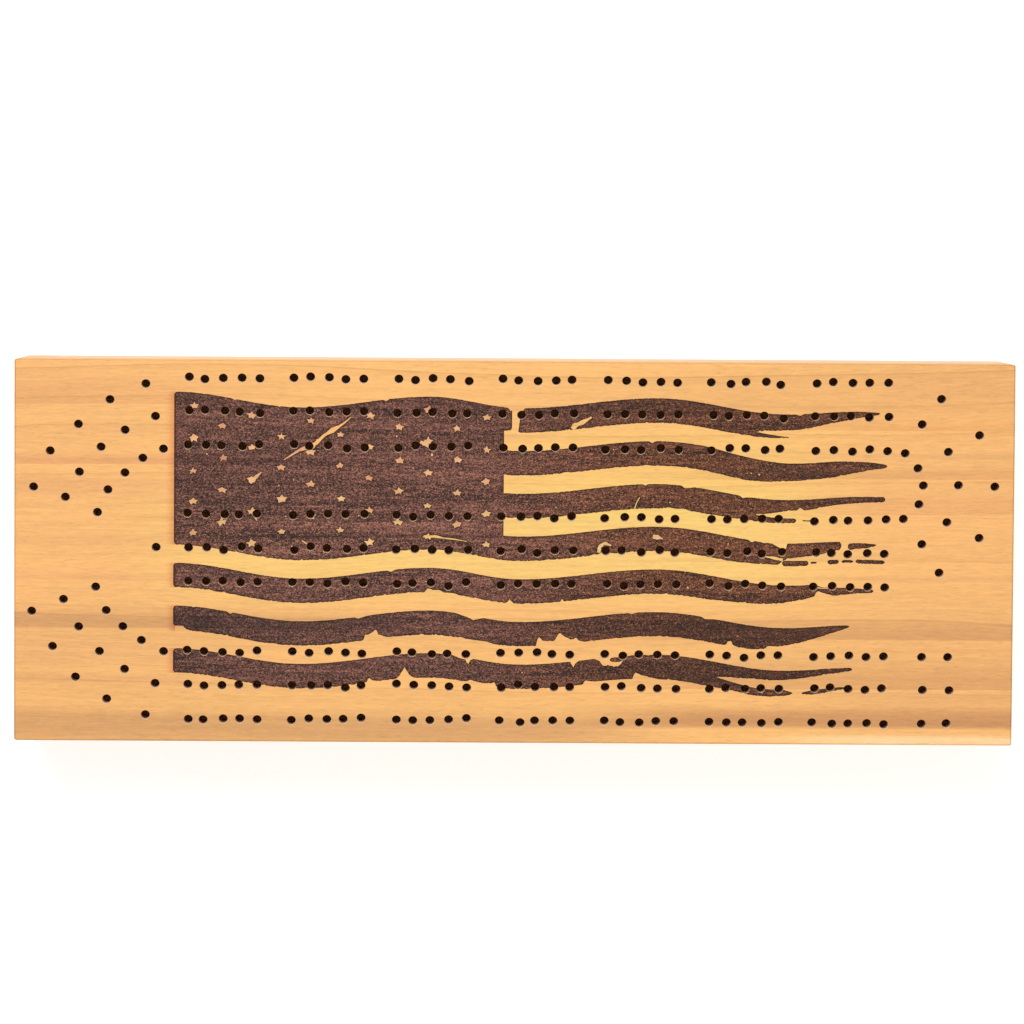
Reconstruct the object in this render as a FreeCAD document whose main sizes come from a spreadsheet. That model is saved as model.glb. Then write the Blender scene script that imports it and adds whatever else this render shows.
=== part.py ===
"""Cribbage box: a drilled playing board on a jointed wooden case, with a drawer in one end.

Millimetres, +Z up. The origin is on the table under the middle of the box. X runs along the board from
the closed end to the drawer, and +Y is the side of the board's first street.

The board is a plank glued on dowels to two rails and one end, which meet in finger joints. A plywood
panel sits in their grooves and carries two runners. The drawer slides on the runners, is held shut by
magnets at its back, and stops on two screws whose plain tips run in grooves along its sides. Its front
has a half-round finger notch. Inside are a tray with nine pegs, a well for a deck of cards and a long
well.
"""
import FreeCAD, Part
import math
import os
import random
import re

import Sketcher
from FreeCAD import Placement, Rotation, Vector

SIZES = {
    # the playing board
    "board_length": 365.5,
    "board_width": 139.7,
    "board_thickness": 19.05,
    "edge_ease": 0.8,
    # the drilled track
    "peg_hole_radius": 1.5875,
    "peg_hole_depth": 11.1,
    "hole_pitch": 6.43,
    "group_pitch": 38.2,
    "lane_pitch": 12.35,
    "street_pitch": 50.0,
    "track_shift": 8.16,
    "track_rise": 0.8,
    "long_turn_radius": 51.0,
    "long_turn_shift": 2.7,
    "long_turn_first": 21.0,
    "long_turn_step": 13.0,
    "short_turn_stretch": 1.06,
    "short_turn_step": 30.0,
    "finish_offset": 11.5,
    "start_offset": 14.0,
    "start_pitch": 9.8,
    "drill_wander": 0.35,
    "track_skew": -0.16,
    # the case
    "case_height": 36.0,
    "rail_thickness": 12.7,
    "end_thickness": 12.7,
    "panel_thickness": 4.0,
    "panel_lift": 2.5,
    "panel_tongue": 4.0,
    "panel_front_gap": 0.4,
    "groove_gap": 0.1,
    "runner_width": 8.0,
    "runner_thickness": 1.5,
    "runner_rear_gap": 1.0,
    "dowel_radius": 3.175,
    "dowel_in_rail": 14.0,
    "dowel_cover": 1.0,
    "pin_fit": 0.05,
    # the rubber feet and their screws
    "foot_height": 3.2,
    "foot_radius": 5.5,
    "foot_base_radius": 5.0,
    "foot_inset": 16.0,
    "foot_web": 1.3,
    "foot_screw_radius": 1.4,
    "foot_screw_length": 12.0,
    "foot_screw_head_radius": 2.6,
    "foot_screw_head_height": 1.4,
    "foot_screw_crown_radius": 1.8,
    "foot_screw_head_play": 0.3,
    # the magnets and the stop screws
    "magnet_radius": 4.0,
    "magnet_thickness": 3.0,
    "magnet_spread": 60.0,
    "stop_inset": 32.0,
    "stop_radius": 2.1,
    "stop_reach": 2.0,
    "stop_head_radius": 4.0,
    "stop_slot_width": 0.9,
    "stop_groove_depth": 2.4,
    "stop_groove_play": 0.5,
    "drawer_kept": 72.5,
    # the drawer
    "drawer_side_gap": 0.6,
    "drawer_head_gap": 0.8,
    "drawer_rear_gap": 0.3,
    "slide_gap": 0.1,
    "front_reveal": 0.6,
    "front_thickness": 12.7,
    "front_lip": 4.7,
    "front_ease": 0.6,
    "notch_radius": 12.0,
    "side_thickness": 6.35,
    "back_thickness": 6.35,
    "back_tongue": 3.0,
    "floor_thickness": 3.2,
    "floor_lift": 2.5,
    "floor_tongue": 3.0,
    "brad_radius": 0.8,
    "brad_head_radius": 1.4,
    "brad_head_height": 0.5,
    "brad_length": 15.0,
    "brad_inset": 8.0,
    # the inside of the drawer
    "divider_thickness": 4.8,
    "divider_drop": 3.0,
    "dado_depth": 1.6,
    "scoop_radius": 14.0,
    "scoop_depth": 8.0,
    "card_well_length": 92.0,
    "tray_length": 66.0,
    "tray_height": 12.0,
    "tray_gap": 0.2,
    "trough_radius": 5.0,
    "trough_end_wall": 2.0,
    # the pegs
    "peg_spread": 2.5,
    "peg_tip_radius": 1.25,
    "peg_shank_radius": 1.5,
    "peg_collar_radius": 2.0,
    "peg_collar_length": 2.0,
    "peg_collar_slope": 0.7,
    "peg_neck_length": 2.0,
    "peg_waist_radius": 1.45,
    "peg_waist_length": 2.8,
    "peg_belly_length": 3.2,
    "peg_head_radius": 2.75,
    "peg_head_length": 4.0,
    "peg_dome_radius": 1.2,
    "peg_dome_height": 1.3,
    "peg_lay_gap": 0.1,
}

# What the rules of the game fix, and the pieces that come in numbers.
LANES = (1, 0, -1)
STREETS = (1, 0, -1)
GROUPS = 7
HOLES_IN_GROUP = 5
LONG_TURN_HOLES = 5
SHORT_TURN_HOLES = (2, 1, 0, -1, -2)
START_HOLES = 2
HAND_SEED = 7
FINGERS = 5
DOWEL_GAPS = (0, 2, 3, 5)
PEG_METALS = ("brass", "steel", "black")
PEGS_EACH = 3

OVERCUT = "1"  # how far a cutter runs out past the face it enters
NEAR = 0.1  # how close counts as on a plane, where an edge is picked by its place
SIDES = {"front": -1, "back": 1}
ENDS = {"left": -1, "right": 1}

# Places that several pieces share, as formulas of the sheet's sizes.
HALF_LENGTH = "(board_length / 2)"
HALF_WIDTH = "(board_width / 2)"
CASE_FOOT = "foot_height"
CASE_TOP = "(foot_height + case_height)"
RAIL_INNER = f"({HALF_WIDTH} - rail_thickness)"
END_INNER = f"(end_thickness - {HALF_LENGTH})"
PANEL_FOOT = "(foot_height + panel_lift)"
PANEL_TOP = "(foot_height + panel_lift + panel_thickness)"
FRONT_INNER = f"({HALF_LENGTH} - front_thickness)"
PANEL_END = f"({FRONT_INNER} - panel_front_gap)"
DRAWER_OUTER = f"({RAIL_INNER} - drawer_side_gap)"
DRAWER_INNER = f"({DRAWER_OUTER} - side_thickness)"
DRAWER_REAR = f"({END_INNER} + drawer_rear_gap)"
DRAWER_FOOT = f"({PANEL_TOP} + runner_thickness + slide_gap)"
DRAWER_TOP = f"({CASE_TOP} - drawer_head_gap)"
RABBET_END = f"({HALF_LENGTH} - front_lip)"
FLOOR_FOOT = f"({DRAWER_FOOT} + floor_lift)"
FLOOR_TOP = f"({FLOOR_FOOT} + floor_thickness)"
STOP_X = f"({HALF_LENGTH} - stop_inset)"
DRAWER_MIDDLE = f"(({DRAWER_FOOT} + {DRAWER_TOP}) / 2)"
DRAWER_TRAVEL = f"({HALF_LENGTH} - {DRAWER_REAR} - drawer_kept)"
RAIL_MIDDLE = f"({HALF_WIDTH} - rail_thickness / 2)"
DOWEL_IN_BOARD = "(board_thickness - peg_hole_depth - dowel_cover)"
GROUP_LENGTH = f"({HOLES_IN_GROUP - 1} * hole_pitch)"
STREET_LENGTH = f"({GROUPS - 1} * group_pitch + {GROUP_LENGTH})"
FIRST_HOLE = f"(track_shift - {STREET_LENGTH} / 2)"
LAST_HOLE = f"(track_shift + {STREET_LENGTH} / 2)"
TROUGH_BED = f"({FLOOR_TOP} + tray_height)"
TROUGH_STRAIGHT = f"({DRAWER_INNER} - tray_gap - trough_end_wall - trough_radius)"
PEG_LENGTH = f"((2 * {TROUGH_STRAIGHT} - {PEGS_EACH - 1} * peg_spread) / {PEGS_EACH})"
PEG_HEAD = f"({PEG_LENGTH} - peg_head_length)"
PEG_WAIST = f"({PEG_HEAD} - peg_belly_length - peg_waist_length)"
PEG_SHANK = f"({PEG_WAIST} - peg_neck_length - peg_collar_length)"
BRAD_X = f"(({FRONT_INNER} + {RABBET_END}) / 2)"
DIVIDERS = {
    "divider_front": f"({FRONT_INNER} - tray_length - divider_thickness)",
    "divider_middle": f"({FRONT_INNER} - tray_length - card_well_length - 2 * divider_thickness)",
}

doc = FreeCAD.newDocument("cribbage_box")
sheet = doc.addObject("Spreadsheet::Sheet", "sizes")
for row, (alias, value) in enumerate(SIZES.items(), start=1):
    sheet.set(f"A{row}", alias.replace("_", " "))
    sheet.set(f"B{row}", str(value))
    sheet.setAlias(f"B{row}", alias)
doc.recompute()

nodes = {}


def size(alias):
    """One of the sheet's values, for the shapes that Python places."""
    return float(sheet.get(alias))


def formula(text):
    """The text with the sheet's name put before each of its aliases."""
    return re.sub(r"[a-z]\w*", lambda m: f"sizes.{m[0]}" if m[0] in SIZES else m[0], str(text))


def bind(thing, formulas):
    """Ties properties of an object to formulas of the sheet's sizes."""
    for name, text in formulas.items():
        thing.setExpression(name, formula(text))
    return thing


def place(thing, x, y, z, rotation=None):
    """Puts an object at a point given by three formulas, turned by a fixed rotation."""
    if rotation:
        thing.Placement = Placement(Vector(), rotation)
    return bind(thing, {"Placement.Base.x": x, "Placement.Base.y": y, "Placement.Base.z": z})


def across(side, near, far):
    """The span in Y between two distances from the middle line, on the front (-1) or back (1) side."""
    return (near, far) if side > 0 else (f"-({far})", f"-({near})")


def new_body(name):
    """An empty body that becomes the node of that name."""
    nodes[name] = doc.addObject("PartDesign::Body", name)
    return nodes[name]


def box(body, kind, name, x, y, z):
    """Adds or cuts a box that fills three spans, each a pair of formulas."""
    feature = body.newObject(f"PartDesign::{kind}Box", name)
    bind(feature, {"Length": f"({x[1]}) - ({x[0]})", "Width": f"({y[1]}) - ({y[0]})"})
    bind(feature, {"Height": f"({z[1]}) - ({z[0]})"})
    return place(feature, x[0], y[0], z[0])


def stock(body, x, y, z):
    """The plain board that a piece of the case or drawer is made from."""
    return box(body, "Additive", "stock", x, y, z)


def cut(body, name, x, y, z):
    """A groove, rabbet, dado or finger gap."""
    return box(body, "Subtractive", name, x, y, z)


ALONG = {
    "X": Rotation(Vector(0, 1, 0), 90),
    "Y": Rotation(Vector(1, 0, 0), -90),
    "Z": Rotation(),
}


def drill(body, name, axis, low, radius, depth):
    """A round hole along an axis, from its low end."""
    feature = body.newObject("PartDesign::SubtractiveCylinder", name)
    bind(feature, {"Radius": radius, "Height": depth})
    return place(feature, *low, ALONG[axis])


def ease(body, feature, wanted, amount="edge_ease"):
    """Rounds the edges of a feature whose middle point passes the test."""
    doc.recompute()
    names = [f"Edge{n}" for n, edge in enumerate(feature.Shape.Edges, 1) if wanted(edge.CenterOfMass)]
    fillet = body.newObject("PartDesign::Fillet", "eased_edges")
    fillet.Base = (feature, names)
    return bind(fillet, {"Radius": amount})


def outline(body, plane, name, points):
    """A closed sketch through points given as pairs of formulas, each held by its own constraints."""
    sketch = body.newObject("Sketcher::SketchObject", name)
    base = [part for part in body.Origin.OriginFeatures if part.Role == plane]
    sketch.AttachmentSupport = (base[0], [""])
    sketch.MapMode = "FlatFace"
    spots = [Vector(*[value_of(text) for text in point], 0) for point in points]
    for start, end in zip(spots, spots[1:] + spots[:1]):
        sketch.addGeometry(Part.LineSegment(start, end), False)
    for n, point in enumerate(points):
        sketch.addConstraint(Sketcher.Constraint("Coincident", n, 2, (n + 1) % len(points), 1))
        for kind, text in zip(("DistanceX", "DistanceY"), point):
            where = sketch.addConstraint(Sketcher.Constraint(kind, -1, 1, n, 1, value_of(text)))
            sketch.renameConstraint(where, f"{kind}_{n}")
            bind(sketch, {f"Constraints.{kind}_{n}": text})
    return sketch


def value_of(text):
    """What a formula gives now, worked out by the sheet itself."""
    found = sheet.evalExpression(formula(text))
    return float(getattr(found, "Value", found))


def turned(body, name, points):
    """A solid of revolution about the body's Z axis, from the outline of its half section."""
    sketch = outline(body, "XZ_Plane", name, points)
    feature = body.newObject("PartDesign::Revolution", f"{name}_turned")
    feature.Profile = sketch
    feature.ReferenceAxis = (sketch, ["V_Axis"])
    feature.Angle = 360
    return feature


def finger(n):
    """The height of the lower edge of finger n of the case's corner joints."""
    return f"foot_height + case_height * {n} / {FINGERS}"


def group(name, members):
    """One node of several separate solids."""
    nodes[name] = doc.addObject("Part::Compound", name)
    nodes[name].Links = members


def round_bar(name, axis, low, radius, length):
    """A plain cylinder along an axis, from its low end."""
    bar = doc.addObject("Part::Cylinder", name)
    bind(bar, {"Radius": radius, "Height": length})
    return place(bar, *low, ALONG[axis])


# ---------------------------------------------------------------- the drilled track


def street_y(street):
    """The middle lane of a street: 1 is the back one, -1 the front one."""
    return size("track_rise") + street * size("street_pitch")


def street_holes():
    """Three streets of three lanes, each lane in groups of five."""
    for street in STREETS:
        for lane in LANES:
            for n in range(GROUPS * HOLES_IN_GROUP):
                group_number, hole = divmod(n, HOLES_IN_GROUP)
                along = group_number * size("group_pitch") + hole * size("hole_pitch")
                yield value_of(FIRST_HOLE) + along, street_y(street) + lane * size("lane_pitch")


def long_turn_holes():
    """The half circle at the closed end, from the front street round to the back one."""
    centre = value_of(FIRST_HOLE) + size("long_turn_shift")
    for lane in LANES:
        radius = size("long_turn_radius") + lane * size("lane_pitch")
        for half in (1, -1):
            for n in range(LONG_TURN_HOLES):
                angle = math.radians(size("long_turn_first") + n * size("long_turn_step"))
                yield centre - radius * math.cos(angle), half * radius * math.sin(angle)


def short_turn_holes():
    """The half circle at the drawer end, from the back street to the middle one."""
    middle = (street_y(1) + street_y(0)) / 2
    for lane in LANES:
        radius = size("street_pitch") / 2 + lane * size("lane_pitch")
        for n in SHORT_TURN_HOLES:
            angle = math.radians(n * size("short_turn_step"))
            x = value_of(LAST_HOLE) + radius * size("short_turn_stretch") * math.cos(angle)
            yield x, middle + radius * math.sin(angle)


def single_holes():
    """The finish hole, and the two start holes of each player."""
    yield value_of(FIRST_HOLE) - size("finish_offset"), street_y(0)
    for lane in LANES:
        for n in range(START_HOLES):
            x = value_of(LAST_HOLE) + size("start_offset") + n * size("start_pitch")
            yield x, street_y(-1) + lane * size("lane_pitch")


def track():
    """Every peg hole's middle. The track was set out and drilled by hand, so it is a little askew and
    each hole strays by its own small amount, the same on every build."""
    hand = random.Random(HAND_SEED)
    skew = math.radians(size("track_skew"))
    stray = size("drill_wander")
    for x, y in (*single_holes(), *street_holes(), *long_turn_holes(), *short_turn_holes()):
        turned_x = x * math.cos(skew) - y * math.sin(skew)
        turned_y = x * math.sin(skew) + y * math.cos(skew)
        yield turned_x + hand.gauss(0, stray), turned_y + hand.gauss(0, stray)


# ---------------------------------------------------------------- the playing board


def dowel_places():
    """Where the dowels stand: over the rails, in the gaps between groups of holes."""
    first_gap = f"{FIRST_HOLE} + ({GROUP_LENGTH} + group_pitch) / 2"
    for name, side in SIDES.items():
        for n in DOWEL_GAPS:
            yield f"{name}_{n}", side, f"{first_gap} + {n} * group_pitch"


def playing_board():
    """The plank: eased edges, dowel sockets below and the drilled track above."""
    plank = doc.addObject("PartDesign::Body", "plank")
    corners = ((-1, -1), (1, -1), (1, 1), (-1, 1))
    points = [(f"{x} * {HALF_LENGTH}", f"{y} * {HALF_WIDTH}") for x, y in corners]
    pad = plank.newObject("PartDesign::Pad", "plank_pad")
    pad.Profile = outline(plank, "XY_Plane", "plank_outline", points)
    bind(pad, {"Length": "board_thickness"})
    ease(plank, pad, lambda middle: middle.z > NEAR)
    for name, side, x in dowel_places():
        low = (x, f"{side} * {RAIL_MIDDLE}", f"-{OVERCUT}")
        depth = f"{DOWEL_IN_BOARD} + pin_fit + {OVERCUT}"
        drill(plank, f"dowel_socket_{name}", "Z", low, "dowel_radius + pin_fit", depth)
    place(plank, "0", "0", CASE_TOP)
    doc.recompute()

    top = size("foot_height") + size("case_height") + size("board_thickness")
    depth = size("peg_hole_depth")
    drills = doc.addObject("Part::Feature", "peg_hole_drills")
    drills.Shape = Part.makeCompound([
        Part.makeCylinder(size("peg_hole_radius"), depth + float(OVERCUT), Vector(x, y, top - depth))
        for x, y in track()
    ])
    nodes["playing_board"] = doc.addObject("Part::Cut", "playing_board")
    nodes["playing_board"].Base = plank
    nodes["playing_board"].Tool = drills


def board_dowels():
    """Dowels that seat the board on the rails."""
    length = f"dowel_in_rail + {DOWEL_IN_BOARD}"
    group("board_dowels", [
        round_bar(f"dowel_{name}", "Z", (x, f"{side} * {RAIL_MIDDLE}", f"{CASE_TOP} - dowel_in_rail"),
                  "dowel_radius", length)
        for name, side, x in dowel_places()
    ])


# ---------------------------------------------------------------- the case


def foot_x(end):
    """Where the feet of one end stand along the box."""
    return f"{end} * ({HALF_LENGTH} - foot_inset)"


def case_rail(name, side):
    """A long side of the case: fingers at the closed end, a stopped groove for the panel."""
    body = new_body(f"case_rail_{name}")
    full = across(side, RAIL_INNER, HALF_WIDTH)
    blank = stock(body, (f"-{HALF_LENGTH}", HALF_LENGTH), full, (CASE_FOOT, CASE_TOP))
    outer = side * (size("board_width") / 2)
    foot, top = size("foot_height"), size("foot_height") + size("case_height")
    tip = size("board_length") / 2
    ease(body, blank, lambda middle: (abs(middle.y - outer) < NEAR and middle.z < top - NEAR)
         or (abs(middle.z - foot) < NEAR and abs(middle.x) > tip - NEAR))
    groove = across(side, f"{RAIL_INNER} - {OVERCUT}", f"{RAIL_INNER} + panel_tongue + groove_gap")
    cut(body, "panel_groove", (f"{END_INNER} - panel_tongue - groove_gap", FRONT_INNER), groove,
        (PANEL_FOOT, f"{PANEL_TOP} + groove_gap"))
    through = across(side, f"{RAIL_INNER} - {OVERCUT}", f"{HALF_WIDTH} + {OVERCUT}")
    for n in range(1, FINGERS, 2):
        cut(body, f"finger_gap_{n}", (f"-{HALF_LENGTH} - {OVERCUT}", END_INNER), through,
            (finger(n), finger(n + 1)))
    for label, dowel_side, x in dowel_places():
        if dowel_side == side:
            low = (x, f"{side} * {RAIL_MIDDLE}", f"{CASE_TOP} - dowel_in_rail - pin_fit")
            drill(body, f"dowel_hole_{label}", "Z", low, "dowel_radius + pin_fit",
                  f"dowel_in_rail + pin_fit + {OVERCUT}")
    for end in ENDS.values():
        low = (foot_x(end), f"{side} * {RAIL_MIDDLE}", f"{CASE_FOOT} - {OVERCUT}")
        drill(body, "foot_screw_pilot", "Z", low, "foot_screw_radius + pin_fit",
              f"foot_screw_length - foot_web + pin_fit + {OVERCUT}")
    drill(body, "stop_hole", "Y", (STOP_X, through[0], DRAWER_MIDDLE), "stop_radius + pin_fit",
          f"rail_thickness + 2 * {OVERCUT}")
    sink = body.newObject("PartDesign::SubtractiveCone", "stop_countersink")
    wide, narrow = "stop_head_radius", "stop_radius + pin_fit"
    bind(sink, {"Height": "stop_head_radius - stop_radius - pin_fit"})
    bind(sink, {"Radius1": wide if side < 0 else narrow, "Radius2": narrow if side < 0 else wide})
    at = f"-{HALF_WIDTH}" if side < 0 else f"{HALF_WIDTH} - (stop_head_radius - stop_radius - pin_fit)"
    place(sink, STOP_X, at, DRAWER_MIDDLE, ALONG["Y"])


def case_end():
    """The closed end, jointed into both rails, with pockets for the magnets."""
    body = new_body("case_end")
    blank = stock(body, (f"-{HALF_LENGTH}", END_INNER), (f"-{HALF_WIDTH}", HALF_WIDTH),
                  (CASE_FOOT, CASE_TOP))
    outer = -size("board_length") / 2
    top = size("foot_height") + size("case_height")
    ease(body, blank, lambda middle: abs(middle.x - outer) < NEAR and middle.z < top - NEAR)
    for n in range(0, FINGERS, 2):
        for name, side in SIDES.items():
            through = (f"-{HALF_LENGTH} - {OVERCUT}", f"{END_INNER} + {OVERCUT}")
            corner = across(side, RAIL_INNER, f"{HALF_WIDTH} + {OVERCUT}")
            cut(body, f"finger_gap_{name}_{n}", through, corner, (finger(n), finger(n + 1)))
    reach = f"{RAIL_INNER} + panel_tongue + groove_gap"
    cut(body, "panel_groove", (f"{END_INNER} - panel_tongue - groove_gap", f"{END_INNER} + {OVERCUT}"),
        (f"-({reach})", reach), (PANEL_FOOT, f"{PANEL_TOP} + groove_gap"))
    for side in SIDES.values():
        low = (f"{END_INNER} - magnet_thickness - pin_fit", f"{side} * magnet_spread / 2", DRAWER_MIDDLE)
        drill(body, "magnet_pocket", "X", low, "magnet_radius + pin_fit",
              f"magnet_thickness + pin_fit + {OVERCUT}")


def bottom_panel():
    """The plywood panel, held in the grooves of the rails and the end."""
    body = new_body("bottom_panel")
    reach = f"{RAIL_INNER} + panel_tongue"
    stock(body, (f"{END_INNER} - panel_tongue", PANEL_END), (f"-({reach})", reach), (PANEL_FOOT, PANEL_TOP))


def runner(name, side):
    """A hardwood strip on the panel that a drawer side slides on."""
    body = new_body(f"runner_{name}")
    stock(body, (f"{END_INNER} + runner_rear_gap", PANEL_END),
          across(side, f"{RAIL_INNER} - runner_width", RAIL_INNER),
          (PANEL_TOP, f"{PANEL_TOP} + runner_thickness"))


def magnets():
    """Two pairs of discs that hold the drawer shut."""
    for node, x in (("case_magnets", f"{END_INNER} - magnet_thickness"), ("drawer_magnets", DRAWER_REAR)):
        group(node, [
            round_bar(f"{node}_{name}", "X", (x, f"{side} * magnet_spread / 2", DRAWER_MIDDLE),
                      "magnet_radius", "magnet_thickness")
            for name, side in SIDES.items()
        ])


def inward(side):
    """Turns a body's own Z to point from a side of the box towards its middle."""
    return Rotation(Vector(1, 0, 0), 90 * side)


def stop_screw(name, side):
    """A countersunk slotted screw through a rail. Its plain tip runs in the drawer side's groove."""
    body = new_body(f"stop_screw_{name}")
    head = "(stop_head_radius - pin_fit)"
    length = "(rail_thickness + drawer_side_gap + stop_reach)"
    taper = f"({head} - stop_radius)"
    turned(body, "screw_section", [
        ("0", "0"), (head, "0"), ("stop_radius", taper), ("stop_radius", length), ("0", length),
    ])
    cut(body, "driver_slot", (f"-{head}", head), ("-stop_slot_width / 2", "stop_slot_width / 2"),
        (f"-{OVERCUT}", f"{taper} / 2"))
    place(body, STOP_X, f"{side} * {HALF_WIDTH}", DRAWER_MIDDLE, inward(side))


def foot(name, side, end):
    """A tapered rubber foot with a recess for its screw."""
    body = new_body(f"foot_{name}")
    recess = "(foot_screw_head_radius + foot_screw_head_play)"
    bore = "(foot_screw_radius + pin_fit)"
    turned(body, "foot_section", [
        (recess, "0"), ("foot_base_radius", "0"), ("foot_radius", "foot_height"), (bore, "foot_height"),
        (bore, "foot_height - foot_web"), (recess, "foot_height - foot_web"),
    ])
    place(body, foot_x(end), f"{side} * {RAIL_MIDDLE}", "0")


def foot_screw(side, end):
    """A round-headed screw that holds a foot. Its head hides in the foot."""
    body = doc.addObject("PartDesign::Body", "foot_screw")
    neck = "foot_screw_head_height"
    tip = f"({neck} + foot_screw_length)"
    turned(body, "screw_section", [
        ("0", "0"), ("foot_screw_crown_radius", "0"), ("foot_screw_head_radius", f"{neck} / 2"),
        ("foot_screw_head_radius", neck), ("foot_screw_radius", neck),
        ("foot_screw_radius", f"{tip} - 2 * foot_screw_radius"), ("0", tip),
    ])
    return place(body, foot_x(end), f"{side} * {RAIL_MIDDLE}", f"foot_height - foot_web - {neck}")


# ---------------------------------------------------------------- the drawer


def drawer_front():
    """The drawer's face board: rabbets for the sides, a groove for the floor and a finger notch."""
    body = new_body("drawer_front")
    face, back = HALF_LENGTH, FRONT_INNER
    foot_z, top_z = f"({CASE_FOOT} + front_reveal)", f"({CASE_TOP} - front_reveal)"
    stock(body, (back, face), (f"-{DRAWER_OUTER}", DRAWER_OUTER), (foot_z, top_z))
    low = (f"{back} - {OVERCUT}", "0", top_z)
    notch = drill(body, "finger_notch", "X", low, "notch_radius", f"front_thickness + 2 * {OVERCUT}")
    outer, notch_edge = value_of(face) - NEAR, size("notch_radius") + NEAR
    ease(body, notch, lambda middle: middle.x > outer
         or (abs(middle.y) < notch_edge and middle.z > value_of(DRAWER_MIDDLE)), "front_ease")
    for name, side in SIDES.items():
        cut(body, f"side_rabbet_{name}", (f"{back} - {OVERCUT}", RABBET_END),
            across(side, DRAWER_INNER, f"{DRAWER_OUTER} + {OVERCUT}"),
            (f"{foot_z} - {OVERCUT}", f"{top_z} + {OVERCUT}"))
    cut(body, "floor_groove", (f"{back} - {OVERCUT}", f"{back} + floor_tongue + groove_gap"),
        (f"-{DRAWER_INNER} - {OVERCUT}", f"{DRAWER_INNER} + {OVERCUT}"),
        (FLOOR_FOOT, f"{FLOOR_TOP} + groove_gap"))
    for n, (side, z) in enumerate(brad_places()):
        start = f"{DRAWER_OUTER} - brad_length - pin_fit"
        low = (BRAD_X, across(side, start, DRAWER_OUTER)[0], z)
        drill(body, f"brad_hole_{n}", "Y", low, "brad_radius + pin_fit", "brad_length + pin_fit")


def brad_places():
    """The side and the height of each brad through the drawer's front joints."""
    for side in SIDES.values():
        yield side, f"({DRAWER_FOOT} + brad_inset)"
        yield side, f"({DRAWER_TOP} - brad_inset)"


def drawer_brads():
    """Brads that pin the drawer's sides to its front."""
    members = []
    for side, z in brad_places():
        body = doc.addObject("PartDesign::Body", "brad")
        turned(body, "brad_section", [
            ("0", "0"), ("brad_head_radius", "0"), ("brad_head_radius", "brad_head_height"),
            ("brad_radius", "brad_head_height"), ("brad_radius", "brad_length"), ("0", "brad_length"),
        ])
        members.append(place(body, BRAD_X, f"{side} * {DRAWER_OUTER}", z, inward(side)))
    group("drawer_brads", members)


def drawer_side(name, side):
    """A side of the drawer: grooved for the floor, the stop and the dividers."""
    body = new_body(f"drawer_side_{name}")
    whole = across(side, DRAWER_INNER, DRAWER_OUTER)
    stock(body, (DRAWER_REAR, RABBET_END), whole, (DRAWER_FOOT, DRAWER_TOP))
    cut(body, "floor_groove", (f"{DRAWER_REAR} - {OVERCUT}", f"{RABBET_END} + {OVERCUT}"),
        across(side, f"{DRAWER_INNER} - {OVERCUT}", f"{DRAWER_INNER} + floor_tongue + groove_gap"),
        (FLOOR_FOOT, f"{FLOOR_TOP} + groove_gap"))
    cut(body, "back_rabbet", (f"{DRAWER_REAR} - {OVERCUT}", f"{DRAWER_REAR} + back_thickness"),
        across(side, f"{DRAWER_INNER} - {OVERCUT}", f"{DRAWER_INNER} + back_tongue"),
        (f"{DRAWER_FOOT} - {OVERCUT}", f"{DRAWER_TOP} + {OVERCUT}"))
    reach = "(stop_radius + stop_groove_play)"
    cut(body, "stop_groove",
        (f"{STOP_X} - {DRAWER_TRAVEL} - stop_radius - slide_gap", f"{STOP_X} + {reach}"),
        across(side, f"{DRAWER_OUTER} - stop_groove_depth", f"{DRAWER_OUTER} + {OVERCUT}"),
        (f"{DRAWER_MIDDLE} - {reach}", f"{DRAWER_MIDDLE} + {reach}"))
    for label, x in DIVIDERS.items():
        cut(body, f"{label}_dado", (x, f"{x} + divider_thickness + groove_gap"),
            across(side, f"{DRAWER_INNER} - {OVERCUT}", f"{DRAWER_INNER} + dado_depth + groove_gap"),
            (FLOOR_TOP, f"{DRAWER_TOP} + {OVERCUT}"))
    for n, (brad_side, z) in enumerate(brad_places()):
        if brad_side == side:
            low = (BRAD_X, across(side, f"{DRAWER_INNER} - {OVERCUT}", DRAWER_OUTER)[0], z)
            drill(body, f"brad_hole_{n}", "Y", low, "brad_radius + pin_fit", f"side_thickness + {OVERCUT}")
            sunk = "(brad_head_height + pin_fit)"
            head = across(side, f"{DRAWER_OUTER} - {sunk}", f"{DRAWER_OUTER} + {OVERCUT}")
            drill(body, f"brad_head_{n}", "Y", (BRAD_X, head[0], z), "brad_head_radius + pin_fit",
                  f"{sunk} + {OVERCUT}")


def drawer_back():
    """The back of the drawer, let into the sides, with pockets for the magnets."""
    body = new_body("drawer_back")
    reach = f"({DRAWER_INNER} + back_tongue)"
    inner = f"({DRAWER_REAR} + back_thickness)"
    stock(body, (DRAWER_REAR, inner), (f"-{reach}", reach), (DRAWER_FOOT, DRAWER_TOP))
    cut(body, "floor_groove", (f"{inner} - floor_tongue - groove_gap", f"{inner} + {OVERCUT}"),
        (f"-{reach} - {OVERCUT}", f"{reach} + {OVERCUT}"), (FLOOR_FOOT, f"{FLOOR_TOP} + groove_gap"))
    for side in SIDES.values():
        low = (f"{DRAWER_REAR} - {OVERCUT}", f"{side} * magnet_spread / 2", DRAWER_MIDDLE)
        drill(body, "magnet_pocket", "X", low, "magnet_radius + pin_fit",
              f"magnet_thickness + pin_fit + {OVERCUT}")


def drawer_floor():
    """The thin plywood floor, in the grooves of all four walls."""
    body = new_body("drawer_floor")
    reach = f"({DRAWER_INNER} + floor_tongue)"
    stock(body, (f"{DRAWER_REAR} + back_thickness - floor_tongue", f"{FRONT_INNER} + floor_tongue"),
          (f"-{reach}", reach), (FLOOR_FOOT, FLOOR_TOP))


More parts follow.
